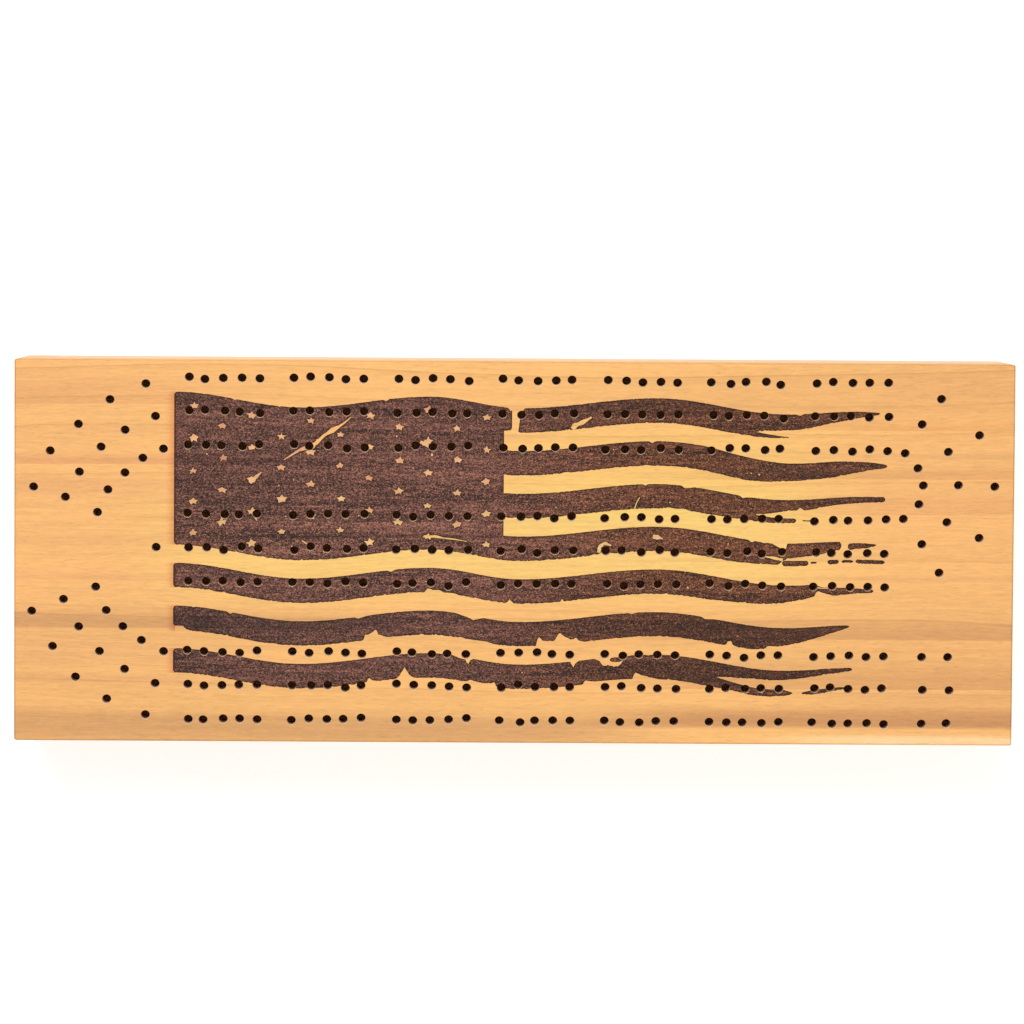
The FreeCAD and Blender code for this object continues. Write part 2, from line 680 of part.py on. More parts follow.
def divider(name, x):
    """A cross wall that drops into the sides' dados, scooped so that fingers reach the cards."""
    body = new_body(name)
    reach = f"({DRAWER_INNER} + dado_depth)"
    top = f"({DRAWER_TOP} - divider_drop)"
    stock(body, (x, f"{x} + divider_thickness"), (f"-{reach}", reach), (FLOOR_TOP, top))
    low = (f"{x} - {OVERCUT}", "0", f"{top} + scoop_radius - scoop_depth")
    drill(body, "finger_scoop", "X", low, "scoop_radius", f"divider_thickness + 2 * {OVERCUT}")


def trough_x(n):
    """The middle of peg trough n. The troughs share the tray evenly."""
    return f"({FRONT_INNER} - tray_length * ({n} + 0.5) / {len(PEG_METALS)})"


def peg_tray():
    """A solid block with three round-bottomed troughs, one for each player's pegs."""
    body = new_body("peg_tray")
    reach = f"({DRAWER_INNER} - tray_gap)"
    stock(body, (f"{FRONT_INNER} - tray_length + tray_gap", f"{FRONT_INNER} - tray_gap"),
          (f"-{reach}", reach), (FLOOR_TOP, TROUGH_BED))
    for n in range(len(PEG_METALS)):
        low = (trough_x(n), f"-{TROUGH_STRAIGHT}", TROUGH_BED)
        drill(body, f"trough_{n}", "Y", low, "trough_radius", f"2 * {TROUGH_STRAIGHT}")
        for side in SIDES.values():
            ball = body.newObject("PartDesign::SubtractiveSphere", f"trough_end_{n}")
            bind(ball, {"Radius": "trough_radius"})
            place(ball, trough_x(n), f"{side} * {TROUGH_STRAIGHT}", TROUGH_BED)


def peg(name, trough, place_number):
    """A turned peg. It lies in its trough on its tip and the rim of its head. The pegs of one trough lie
    end to end along its straight stretch."""
    body = new_body(name)
    turned(body, "peg_section", [
        ("0", "0"), ("peg_tip_radius", "0"), ("peg_shank_radius", PEG_SHANK),
        ("peg_collar_radius", f"{PEG_SHANK} + peg_collar_slope"),
        ("peg_collar_radius", f"{PEG_SHANK} + peg_collar_length"),
        ("peg_waist_radius", PEG_WAIST), ("peg_waist_radius", f"{PEG_WAIST} + peg_waist_length"),
        ("peg_head_radius", PEG_HEAD), ("peg_head_radius", f"{PEG_LENGTH} - peg_dome_height"),
        ("peg_dome_radius", PEG_LENGTH), ("0", PEG_LENGTH),
    ])
    tilt = f"atan((peg_head_radius - peg_tip_radius) / {PEG_HEAD})"
    place(body, trough_x(trough), f"{place_number} * ({PEG_LENGTH} + peg_spread) - {TROUGH_STRAIGHT}",
          f"{TROUGH_BED} - trough_radius + peg_lay_gap + peg_tip_radius * cos({tilt})",
          Rotation(Vector(-1, 0, 0), 90))
    bind(body, {"Placement.Rotation.Angle": f"90deg - {tilt}"})


# ---------------------------------------------------------------- build, check and write


def build():
    """Makes every node."""
    playing_board()
    board_dowels()
    for name, side in SIDES.items():
        case_rail(name, side)
        runner(name, side)
        stop_screw(name, side)
        drawer_side(name, side)
    case_end()
    bottom_panel()
    magnets()
    for side_name, side in SIDES.items():
        for end_name, end in ENDS.items():
            foot(f"{side_name}_{end_name}", side, end)
    group("foot_screws", [foot_screw(side, end) for side in SIDES.values() for end in ENDS.values()])
    drawer_front()
    drawer_back()
    drawer_floor()
    drawer_brads()
    for name, x in DIVIDERS.items():
        divider(name, x)
    peg_tray()
    for trough, metal in enumerate(PEG_METALS):
        for n in range(PEGS_EACH):
            peg(f"peg_{metal}_{n + 1}", trough, n)
    doc.recompute()


def write():
    """Checks every object and node, then writes one STEP file per node."""
    for thing in doc.Objects:
        if {"Invalid", "Error"} & set(thing.State):
            raise RuntimeError(f"{thing.Name} failed: {thing.State}")
    os.makedirs("parts", exist_ok=True)
    for name, node in nodes.items():
        node.Label = name
        shape = node.Shape
        if shape.isNull() or not shape.isValid() or not shape.Solids:
            raise RuntimeError(f"{name} has no valid solid")
        shape.exportStep(f"parts/{name}.step")
        print(f"{name}: {len(shape.Solids)} solid(s), {shape.Volume / 1000:.2f} cm3")


build()
write()
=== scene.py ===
import logging
import math
import random
from dataclasses import dataclass
from enum import Enum
from typing import Iterable, NamedTuple, Sequence

import bpy
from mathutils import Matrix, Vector


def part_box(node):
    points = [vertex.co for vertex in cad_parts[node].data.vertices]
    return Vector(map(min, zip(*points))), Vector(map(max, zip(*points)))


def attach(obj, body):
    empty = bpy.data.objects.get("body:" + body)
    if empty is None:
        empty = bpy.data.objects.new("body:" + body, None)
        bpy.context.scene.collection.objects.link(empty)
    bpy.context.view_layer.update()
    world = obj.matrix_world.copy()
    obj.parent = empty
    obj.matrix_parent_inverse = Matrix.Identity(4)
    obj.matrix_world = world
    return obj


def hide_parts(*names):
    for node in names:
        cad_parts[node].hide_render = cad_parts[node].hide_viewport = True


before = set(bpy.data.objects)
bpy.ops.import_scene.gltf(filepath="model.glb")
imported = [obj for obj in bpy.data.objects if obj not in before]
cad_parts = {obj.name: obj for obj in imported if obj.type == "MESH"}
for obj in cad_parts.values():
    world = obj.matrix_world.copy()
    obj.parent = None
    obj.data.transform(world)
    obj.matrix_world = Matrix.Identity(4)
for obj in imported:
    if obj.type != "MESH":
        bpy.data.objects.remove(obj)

LOG = logging.getLogger("cribbage_box")
MM = 0.001  # metres in a millimetre
MICRONS = 1e6  # thousandths of a millimetre in a metre

Span = tuple[float, float]
Ramp = tuple[float, float, float, float]  # from, to, and what it gives at each
Point = tuple[float, float, float]
Socket = bpy.types.NodeSocket
Material = bpy.types.Material
Piece = bpy.types.Object
Face = bpy.types.MeshPolygon
Value = Socket | float | Sequence[float] | None
Places = Iterable[tuple[Vector, float, float]]

UPRIGHT = (0.0, 0.0, 1.0)
LENGTHWISE = (1.0, 0.0, 0.0)
CROSSWISE = (0.0, 1.0, 0.0)
SOFTWOOD = {"early": "#fbd09a", "late": "#cf955c"}
MAPLE = {"early": "#e3c08e", "late": "#b98d5c"}
BIRCH = {"early": "#ecd2a4", "late": "#cfa76f", "contrast": 0.5, "streaks": 0.07}
BRASS, ZINC, NICKEL = "#d9ab57", "#b9bcbf", "#c9c6bf"


# ------------------------------------------------------------------ small tools


def linear(code: str) -> tuple[float, float, float, float]:
    """Turns an sRGB hex colour into the linear one that Blender mixes.

    Args:
        code: the colour as "#rrggbb".

    Returns:
        Linear red, green, blue and an alpha of 1.
    """
    parts = [int(code[i : i + 2], 16) / 255 for i in (1, 3, 5)]
    return (*(c / 12.92 if c <= 0.04045 else ((c + 0.055) / 1.055) ** 2.4 for c in parts), 1.0)


class Shader:
    """A material's node tree while it is being drawn."""

    def __init__(self, name: str) -> None:
        """Starts an empty material.

        Args:
            name: the material's name.
        """
        self.material = bpy.data.materials.new(name)
        self.material.use_nodes = True
        self.tree = self.material.node_tree
        self.tree.nodes.clear()

    def add(
        self, kind: str, *values: Value, out: int | str = 0, named: dict | None = None, **settings
    ) -> Socket:
        """Adds a node with its settings, its values and its links.

        Args:
            kind: the node's type, without the word ShaderNode.
            values: what goes into the first sockets, in their order.
            out: the output that is handed back.
            named: what goes into sockets given by name or number.
            settings: properties of the node itself.

        Returns:
            The chosen output socket.
        """
        made = self.tree.nodes.new(f"ShaderNode{kind}")
        for key, value in settings.items():
            setattr(made, key, value)
        for key, value in [*enumerate(values), *(named or {}).items()]:
            if isinstance(value, Socket):
                self.tree.links.new(value, made.inputs[key])
            elif value is not None:
                made.inputs[key].default_value = value
        return made.outputs[out] if len(made.outputs) else made

    def tinted(self, colour: Socket, tint: Point, share: Socket) -> Socket:
        """Multiplies a colour by a tint, all of it where the share is 1 and none where it is 0."""
        whole = self.add("VectorMath", colour, tint, operation="MULTIPLY")
        return self.add("Mix", share, named={6: colour, 7: whole}, out=2, data_type="RGBA")

    def spots(self, place: Socket, per_mm: Point, detail: float, rough: float = 0.5) -> Socket:
        """Scatters soft spots that are stretched along an axis.

        Args:
            place: the place on the part, in millimetres.
            per_mm: how many spots there are to a millimetre, along each axis.
            detail: how many finer layers lie over them.
            rough: how strong the finer layers are.

        Returns:
            The pattern, from 0 to 1.
        """
        stretched = self.add("VectorMath", place, per_mm, operation="MULTIPLY")
        named = {"Vector": stretched, "Scale": 1.0, "Detail": detail, "Roughness": rough}
        return self.add("TexNoise", named=named)

    def shaded(self, patterns: Sequence[Socket], weights: Point) -> Socket:
        """Works out a brightness round 1 from three patterns.

        Args:
            patterns: the patterns, each of them round 0.5.
            weights: how strongly each one shows.

        Returns:
            The brightness.
        """
        centred = self.add("VectorMath", self.add("CombineXYZ", *patterns), (0.5,) * 3, operation="SUBTRACT")
        weighed = self.add("VectorMath", centred, weights, operation="DOT_PRODUCT", out="Value")
        return self.add("Math", weighed, 1.0, operation="ADD")

    def finish(self, surface: Socket) -> Material:
        """Links the surface to the output and hands the material back."""
        self.add("OutputMaterial", surface)
        return self.material


class Cut(Enum):
    """What a Boolean does with the parts that it is given."""

    JOIN = "UNION"
    TAKE_OUT = "DIFFERENCE"


class Bench:
    """The modelling steps that every piece here is made with."""

    @staticmethod
    def only(piece: Piece) -> None:
        """Leaves one piece alone selected and active.

        Args:
            piece: the piece.
        """
        bpy.ops.object.select_all(action="DESELECT")
        piece.select_set(True)
        bpy.context.view_layer.objects.active = piece

    @staticmethod
    def fresh() -> None:
        """Deselects everything before a primitive is added."""
        bpy.ops.object.select_all(action="DESELECT")

    @staticmethod
    def added(name: str) -> Piece:
        """Names the primitive that was just added.

        Args:
            name: its name.

        Returns:
            The primitive.
        """
        piece = bpy.context.active_object
        piece.name = piece.data.name = name
        return piece

    @staticmethod
    def disc(name: str, sides: int, radius: float) -> Piece:
        """Adds a flat disc at the origin.

        Args:
            name: the disc's name.
            sides: how many sides it has.
            radius: how far its corners reach, in millimetres.

        Returns:
            The disc.
        """
        Bench.fresh()
        bpy.ops.mesh.primitive_circle_add(vertices=sides, radius=radius * MM, fill_type="NGON")
        return Bench.added(name)

    @staticmethod
    def band(name: str, edges: Sequence[tuple[Sequence[float], Sequence[float]]]) -> Piece:
        """Models a flat band between two edges.

        Args:
            name: the band's name.
            edges: the points of the lower and the upper edge, in metres, step by step from left to right.

        Returns:
            The band, one face to each step.
        """
        count = len(edges) - 1
        Bench.fresh()
        bpy.ops.mesh.primitive_grid_add(x_subdivisions=count, y_subdivisions=1, size=1)
        band = Bench.added(name)
        columns: dict[int, list[bpy.types.MeshVertex]] = {}
        for vertex in band.data.vertices:
            columns.setdefault(round((vertex.co.x + 0.5) * count), []).append(vertex)
        for number, pair in columns.items():
            pair.sort(key=lambda v: v.co.y)
            pair[0].co, pair[1].co = edges[number]
        return band

    @staticmethod
    def deselected(piece: Piece) -> None:
        """Deselects every face, edge and corner of a piece, and leaves it in object mode.

        Args:
            piece: the piece.
        """
        Bench.only(piece)
        bpy.ops.object.mode_set(mode="EDIT")
        bpy.ops.mesh.select_all(action="DESELECT")
        Bench.done()

    @staticmethod
    def opened(piece: Piece) -> None:
        """Opens a piece for editing, with all of it selected.

        Args:
            piece: the piece.
        """
        Bench.only(piece)
        bpy.ops.object.mode_set(mode="EDIT")
        bpy.ops.mesh.select_all(action="SELECT")

    @staticmethod
    def done() -> None:
        """Leaves edit mode."""
        bpy.ops.object.mode_set(mode="OBJECT")

    @staticmethod
    def extrude(x: float, y: float, z: float) -> None:
        """Extrudes what is selected by so many millimetres."""
        bpy.ops.mesh.extrude_region_move(TRANSFORM_OT_translate={"value": (x * MM, y * MM, z * MM)})

    @staticmethod
    def closed() -> None:
        """Turns all the faces of the open piece outwards and leaves edit mode."""
        bpy.ops.mesh.select_all(action="SELECT")
        bpy.ops.mesh.normals_make_consistent(inside=False)
        Bench.done()

    @staticmethod
    def raised(flat: Piece, low: float, high: float, merge: bool = True) -> Piece:
        """Extrudes a flat outline from low up to high and closes it.

        Args:
            flat: the outline, with its faces.
            low: the height that it lies at, in millimetres.
            high: the height of the new top.
            merge: whether the outline's faces are merged into one first.

        Returns:
            The closed block.
        """
        Bench.opened(flat)
        if merge:
            bpy.ops.mesh.dissolve_limited(angle_limit=math.radians(1))
        Bench.extrude(0, 0, high - low)
        Bench.closed()
        return flat

    @staticmethod
    def apply(piece: Piece, kind: str, **settings) -> None:
        """Adds a modifier with its settings and applies it.

        Args:
            piece: the piece that is changed.
            kind: the modifier's type.
            settings: the modifier's properties.
        """
        Bench.only(piece)
        made = piece.modifiers.new(kind.lower(), kind)
        for key, value in settings.items():
            setattr(made, key, value)
        bpy.ops.object.modifier_apply(modifier=made.name)

    @staticmethod
    def copies(piece: Piece, places: Places) -> Piece:
        """Copies a piece to many places and joins the copies into one.

        Args:
            piece: the piece that repeats, at the origin.
            places: where each copy goes, its turn about Z in degrees and its size across.

        Returns:
            One object of all the copies.
        """
        made = []
        for place, turn, size in places:
            copy = piece.copy()
            copy.data = piece.data.copy()
            copy.location = place
            copy.rotation_euler = (0, 0, math.radians(turn))
            copy.scale = (size, size, 1.0)
            bpy.context.scene.collection.objects.link(copy)
            made.append(copy)
        bpy.data.objects.remove(piece)
        Bench.fresh()
        for copy in made:
            copy.select_set(True)
        bpy.context.view_layer.objects.active = made[0]
        bpy.ops.object.join()
        bpy.ops.object.transform_apply(location=True, rotation=True, scale=True)
        return bpy.context.active_object


# ------------------------------------------------------------------ finishes


class Grain(Enum):
    """The way that a part's grain runs, as the turn that brings it to the pattern's X."""

    ALONG_X = 0.0
    ALONG_Y = -90.0


class Figure(NamedTuple):
    """What a wood pattern works out, for a finish to build on."""

    place: Socket
    bent: Socket
    colour: Socket
    height: Socket


@dataclass(frozen=True)
class SolidWood:
    """Planed solid wood: growth rings of a log, fibre streaks along them, darker and denser end grain."""

    name: str
    early: str
    late: str
    grain: Grain = Grain.ALONG_X
    pith: tuple[float, float] = (-330.0, -240.0)
    ring: float = 3.4
    shift: Point = (0.0, 0.0, 0.0)
    contrast: float = 0.55
    streaks: float = 0.10
    roughness: float = 0.52
    sway: float = 13.0
    # how dark a year's ring is over its breadth: the slow rise, the sharp line and the sudden end
    year_ramps: tuple[Ramp, ...] = ((0.10, 0.90, 0.0, 0.45), (0.84, 0.93, 0.0, 0.55), (0.95, 1.0, 1.0, 0.0))
    end_lean: Span = (0.30, 0.90)
    end_tint: Point = (0.80, 0.70, 0.60)
    fibre_depth: float = 0.15

    def figure(self, s: Shader) -> Figure:
        """Draws the rings and the fibres in millimetres, with the grain along the pattern's X.

        Args:
            s: the material that is being drawn.

        Returns:
            The colour and height, and the places that they were worked out from.
        """
        place = s.add("TexCoord", out="Object")
        turn = (0, 0, math.radians(self.grain.value))
        named = {"Location": self.shift, "Rotation": turn, "Scale": (1 / MM,) * 3}
        grained = s.add("Mapping", place, named=named)
        # the log was not straight: lines sway a few millimetres over the length of the part
        slow = s.add("VectorMath", grained, (1 / 260, 1 / 75, 1 / 75), operation="MULTIPLY")
        named = {"Vector": slow, "Scale": 1.0, "Detail": 3.0, "Roughness": 0.42}
        sway = s.add("TexNoise", named=named, out="Color")
        centred = s.add("VectorMath", sway, (0.5,) * 3, operation="SUBTRACT")
        bent = s.add("VectorMath", centred, (0, self.sway, self.sway), grained, operation="MULTIPLY_ADD")
        # growth rings: pale early wood darkens slowly and ends sharply, some years strongly, most faintly
        pith = (0, -self.pith[0], -self.pith[1])
        across = s.add("VectorMath", bent, (0, 1, 1), pith, operation="MULTIPLY_ADD")
        radius = s.add("VectorMath", across, operation="LENGTH", out="Value")
        count = s.add("Math", radius, 1 / self.ring, operation="MULTIPLY")
        years = s.add("TexNoise", named={"W": count, "Scale": 0.45, "Detail": 1.0}, noise_dimensions="1D")
        phase = s.add("Math", years, 3.4, count, operation="MULTIPLY_ADD")
        part = s.add("Math", phase, operation="FRACT")
        year = s.add("Math", phase, operation="FLOOR")
        shapes = [s.add("MapRange", part, *ramp, interpolation_type="SMOOTHSTEP") for ramp in self.year_ramps]
        luck = s.add("TexWhiteNoise", named={"W": year}, noise_dimensions="1D")
        strength = s.add("Math", luck, 2.2, operation="POWER")
        grown = s.add("Math", s.add("Math", *shapes[:2], operation="ADD"), shapes[2], operation="MULTIPLY")
        band = s.add("Math", grown, strength, operation="MULTIPLY")
        # fibres: streaks 2 mm and 0.8 mm wide, coarser than real ones so that they show, and broad clouds
        streak = s.spots(bent, (0.014, 0.5, 0.5), 4.0, 0.7)
        fibre = s.spots(bent, (0.15, 1.25, 1.25), 3.0, 0.8)
        tone = s.spots(grained, (0.0045, 0.05, 0.05), 2.0)
        shade = s.shaded((streak, fibre, tone), (self.streaks * 1.3, self.streaks * 2.2, self.streaks * 0.9))
        # resin ducts: dark dashes a few millimetres long
        duct = s.add("MapRange", s.spots(bent, (0.3, 2.1, 2.1), 1.0), 0.60, 0.78, 0.0, self.streaks * 0.6)
        shade = s.add("Math", shade, duct, operation="SUBTRACT")
        late = s.add("Math", band, self.contrast, operation="MULTIPLY")
        tones = {6: linear(self.early), 7: linear(self.late)}
        colour = s.add("Mix", late, named=tones, out=2, data_type="RGBA")
        colour = s.add("VectorMath", colour, named={"Scale": shade}, operation="SCALE")
        # end grain drinks more finish, so it is darker
        normal = s.add("NewGeometry", out="True Normal")
        facing = s.add("VectorMath", normal, self.along(), operation="DOT_PRODUCT", out="Value")
        end = s.add("MapRange", s.add("Math", facing, operation="ABSOLUTE"), *self.end_lean)
        colour = s.tinted(colour, self.end_tint, end)
        waves = s.add("Math", streak, 0.4, operation="MULTIPLY")
        height = s.add("Math", fibre, 0.6, waves, operation="MULTIPLY_ADD")
        return Figure(grained, bent, colour, height)

    def along(self) -> Point:
        """The direction of the grain."""
        return LENGTHWISE if self.grain is Grain.ALONG_X else CROSSWISE

    def made(self) -> Material:
        """Builds the material.

        Returns:
            The finished material.
        """
        s = Shader(self.name)
        drawn = self.figure(s)
        return self.surface(s, drawn.colour, drawn.height, relief=0.20)

    def surface(self, s: Shader, colour: Socket, height: Socket, relief: float) -> Material:
        """Makes the surface from its colour and its height.

        Args:
            s: the material that is being drawn.
            colour: the colour over the surface.
            height: the height over the surface, from 0 to 1.
            relief: how strongly the height shows.

        Returns:
            The finished material.
        """
        bump = s.add("Bump", named={"Strength": relief, "Distance": self.fibre_depth * MM, "Height": height})
        look = {"Base Color": colour, "Roughness": self.roughness, "Normal": bump}
        return s.finish(s.add("BsdfPrincipled", named=look))


class Streak(NamedTuple):
    """A long stripe of darker or lighter wood in the board, in millimetres from its middle.

    It fades over `above` towards the back and over `below` towards the front.
    """

    y: float
    above: float
    below: float
    start: float
    end: float
    tint: Point


@dataclass(frozen=True)
class BoardWood(SolidWood):
    """The playing board's own plank, with the colour stripes of its log, a scorched strip by the flag and
    painted shade on its eased edges.
    """

    stripes: tuple[Streak, ...] = (
        Streak(4.0, 30.0, 30.0, -122.0, 108.0, (1.00, 1.17, 1.04)),
        Streak(30.0, 26.0, 26.0, 0.0, 105.0, (1.01, 1.10, 0.97)),
        Streak(53.6, 9.0, 0.6, -400.0, -110.0, (0.92, 0.88, 0.90)),
        Streak(60.5, 6.0, 4.0, -400.0, -60.0, (0.95, 0.93, 0.95)),
        Streak(31.8, 5.0, 0.5, -400.0, -60.0, (0.87, 0.80, 0.85)),
        Streak(24.4, 3.0, 5.5, -400.0, -60.0, (0.92, 0.89, 0.93)),
        Streak(3.2, 3.0, 0.6, -400.0, -110.0, (0.95, 0.93, 0.95)),
        Streak(-10.2, 3.0, 1.2, -400.0, -110.0, (0.93, 0.88, 0.92)),
        Streak(-27.8, 7.5, 1.4, -400.0, -50.0, (0.80, 0.77, 0.84)),
        Streak(-38.0, 9.0, 8.0, -400.0, -100.0, (0.94, 0.93, 0.97)),
        Streak(-47.8, 4.0, 1.0, -400.0, -60.0, (0.93, 0.92, 0.97)),
        Streak(-65.0, 9.0, 6.0, -400.0, 40.0, (0.77, 0.74, 0.82)),
        Streak(17.6, 2.5, 0.5, -128.0, -24.0, (0.86, 0.82, 0.85)),
        Streak(11.4, 3.0, 0.5, -136.0, -8.0, (0.84, 0.80, 0.84)),
        Streak(5.6, 2.2, 0.5, -112.0, 10.0, (0.87, 0.83, 0.86)),
        Streak(46.2, 5.0, 0.5, 100.0, 400.0, (0.90, 0.84, 0.80)),
        Streak(57.0, 14.0, 9.0, 60.0, 400.0, (0.95, 0.93, 0.93)),
        Streak(36.4, 2.0, 0.8, 100.0, 400.0, (0.94, 0.94, 0.95)),
        Streak(28.4, 5.0, 0.5, 60.0, 400.0, (0.88, 0.83, 0.83)),
        Streak(15.2, 10.0, 0.7, 110.0, 400.0, (0.90, 0.85, 0.87)),
        Streak(-2.6, 2.0, 0.6, 60.0, 400.0, (0.93, 0.91, 0.90)),
        Streak(-9.8, 2.4, 0.8, 110.0, 400.0, (0.92, 0.90, 0.92)),
        Streak(-31.0, 10.0, 0.8, 50.0, 400.0, (0.82, 0.78, 0.82)),
        Streak(-35.8, 1.8, 0.7, 110.0, 400.0, (0.94, 0.91, 0.93)),
        Streak(-48.8, 13.0, 0.7, 50.0, 400.0, (0.82, 0.77, 0.79)),
        Streak(-53.0, 4.0, 6.0, 100.0, 400.0, (0.95, 0.93, 0.95)),
        Streak(-61.6, 7.5, 2.8, 40.0, 400.0, (0.68, 0.61, 0.66)),
        Streak(-68.4, 3.4, 6.0, 105.0, 400.0, (1.12, 1.36, 1.95)),
    )
    # how far a stripe fades in and out at its ends, and the share of its breadth that has its full tint
    fade: float = 30.0
    core: float = 0.25
    sway_share: float = 0.3
    # between which distances from the middle the ends brown, and how strongly
    browned: Span = (112.0, 182.0)
    browned_most: float = 1.6
    browned_tint: Point = (0.985, 0.965, 0.99)
    # where the scorch fades out and in: down from its top, and along the board from the middle
    scorch_top: float = 58.2
    scorch_pitch: float = 15.65
    scorch_stripe: Span = (9.4, 8.7)
    scorch_field: Span = (56.3, 55.6)
    scorch_start: Span = (-0.4, 0.4)
    scorch_end: Span = (103.5, 102.9)
    scorch_left: Span = (-128.0, -124.2)
    scorch_right: Span = (-123.8, -124.0)
    scorch_bend: float = 1.7
    scorch_tint: Point = (0.82, 0.52, 0.44)
    # how upright the normal of an eased edge is, and the heights between which it counts as one
    eased_lean: Span = (0.99, 0.93)
    eased_z: Span = (57.3, 57.6)
    # the tint of the painted shade on the eased edges
    eased_edge_shade_tint: Point = (0.90, 0.84, 0.78)
    # the plank's usual brightness
    paleness: float = 0.56

    def figure(self, s: Shader) -> Figure:
        """Adds the plank's own stripes and the scorch to the plain wood.

        Args:
            s: the material that is being drawn.

        Returns:
            The plain wood's pattern with the new colour.
        """
        drawn = super().figure(s)
        x, y, z = (s.add("SeparateXYZ", drawn.place, out=axis) for axis in "XYZ")
        swayed = s.add("Math", s.add("SeparateXYZ", drawn.bent, out="Y"), y, operation="SUBTRACT")
        level = s.add("Math", swayed, self.sway_share, y, operation="MULTIPLY_ADD")
        colour = drawn.colour
        for stripe in self.stripes:
            off = s.add("Math", level, stripe.y + self.shift[1], operation="SUBTRACT")
            ramps = (
                (off, stripe.above, self.core * stripe.above),
                (off, -stripe.below, -self.core * stripe.below),
                (x, stripe.start - self.fade, stripe.start + self.fade),
                (x, stripe.end + self.fade, stripe.end - self.fade),
            )
            over, under, start, end = (s.add("MapRange", *r, interpolation_type="SMOOTHSTEP") for r in ramps)
            length = s.add("Math", start, end, operation="MULTIPLY")
            breadth = s.add("Math", over, under, operation="MULTIPLY")
            here = s.add("Math", length, breadth, operation="MULTIPLY")
            colour = s.tinted(colour, stripe.tint, here)
        # hands and sun have browned the two ends a little
        away = s.add("Math", x, operation="ABSOLUTE")
        ends = s.add("MapRange", away, *self.browned, 0.0, self.browned_most)
        colour = s.tinted(colour, self.browned_tint, ends)
        # the beam turned round at the flag's straight edge and toasted the wood beside the field and stripes
        down = s.add("Math", self.scorch_top, y, operation="SUBTRACT")
        beside = s.add("Math", down, self.scorch_pitch, operation="MODULO")
        by_stripe = s.add("MapRange", beside, *self.scorch_stripe, interpolation_type="SMOOTHSTEP")
        by_field = s.add("MapRange", down, *self.scorch_field, interpolation_type="SMOOTHSTEP")
        start, end = (s.add("MapRange", down, *span) for span in (self.scorch_start, self.scorch_end))
        left, right = (s.add("MapRange", x, *span) for span in (self.scorch_left, self.scorch_right))
        within = s.add("Math", start, end, operation="MULTIPLY")
        marked = s.add("Math", by_stripe, by_field, operation="MAXIMUM")
        span = s.add("Math", marked, within, operation="MULTIPLY")
        near = s.add("Math", left, self.scorch_bend, operation="POWER")
        edge = s.add("Math", near, right, operation="MULTIPLY")
        colour = s.tinted(colour, self.scorch_tint, s.add("Math", span, edge, operation="MULTIPLY"))
        # painted shade: the eased edges turn away from the light, so they are drawn a shade darker
        upright = s.add("SeparateXYZ", s.add("NewGeometry", out="True Normal"), out="Z")
        turned = s.add("MapRange", upright, *self.eased_lean)
        eased = s.add("Math", turned, s.add("MapRange", z, *self.eased_z), operation="MULTIPLY")
        colour = s.tinted(colour, self.eased_edge_shade_tint, eased)
        return drawn._replace(colour=colour)


@dataclass(frozen=True)
class ToastedWood(BoardWood):
    """The small islands that the beam left standing: plank wood, each of them toasted its own pink or tan."""

    pink: Point = (0.90, 0.92, 1.25)
    tan: Point = (0.72, 0.58, 0.86)

    def made(self) -> Material:
        """Builds the material.

        Returns:
            The finished material.
        """
        s = Shader(self.name)
        drawn = self.figure(s)
        by_star = s.add("TexNoise", named={"Vector": drawn.place, "Scale": 0.11, "Detail": 1.0})
        patchy = s.add("TexNoise", named={"Vector": drawn.place, "Scale": 1.1, "Detail": 2.0})
        amount = s.add("MapRange", s.add("Math", patchy, 0.35, by_star, operation="MULTIPLY_ADD"), 0.52, 0.84)
        light = s.add("VectorMath", drawn.colour, self.pink, operation="MULTIPLY")
        dark = s.add("VectorMath", drawn.colour, self.tan, operation="MULTIPLY")
        colour = s.add("Mix", amount, named={6: light, 7: dark}, out=2, data_type="RGBA")
        return self.surface(s, colour, drawn.height, relief=0.3)


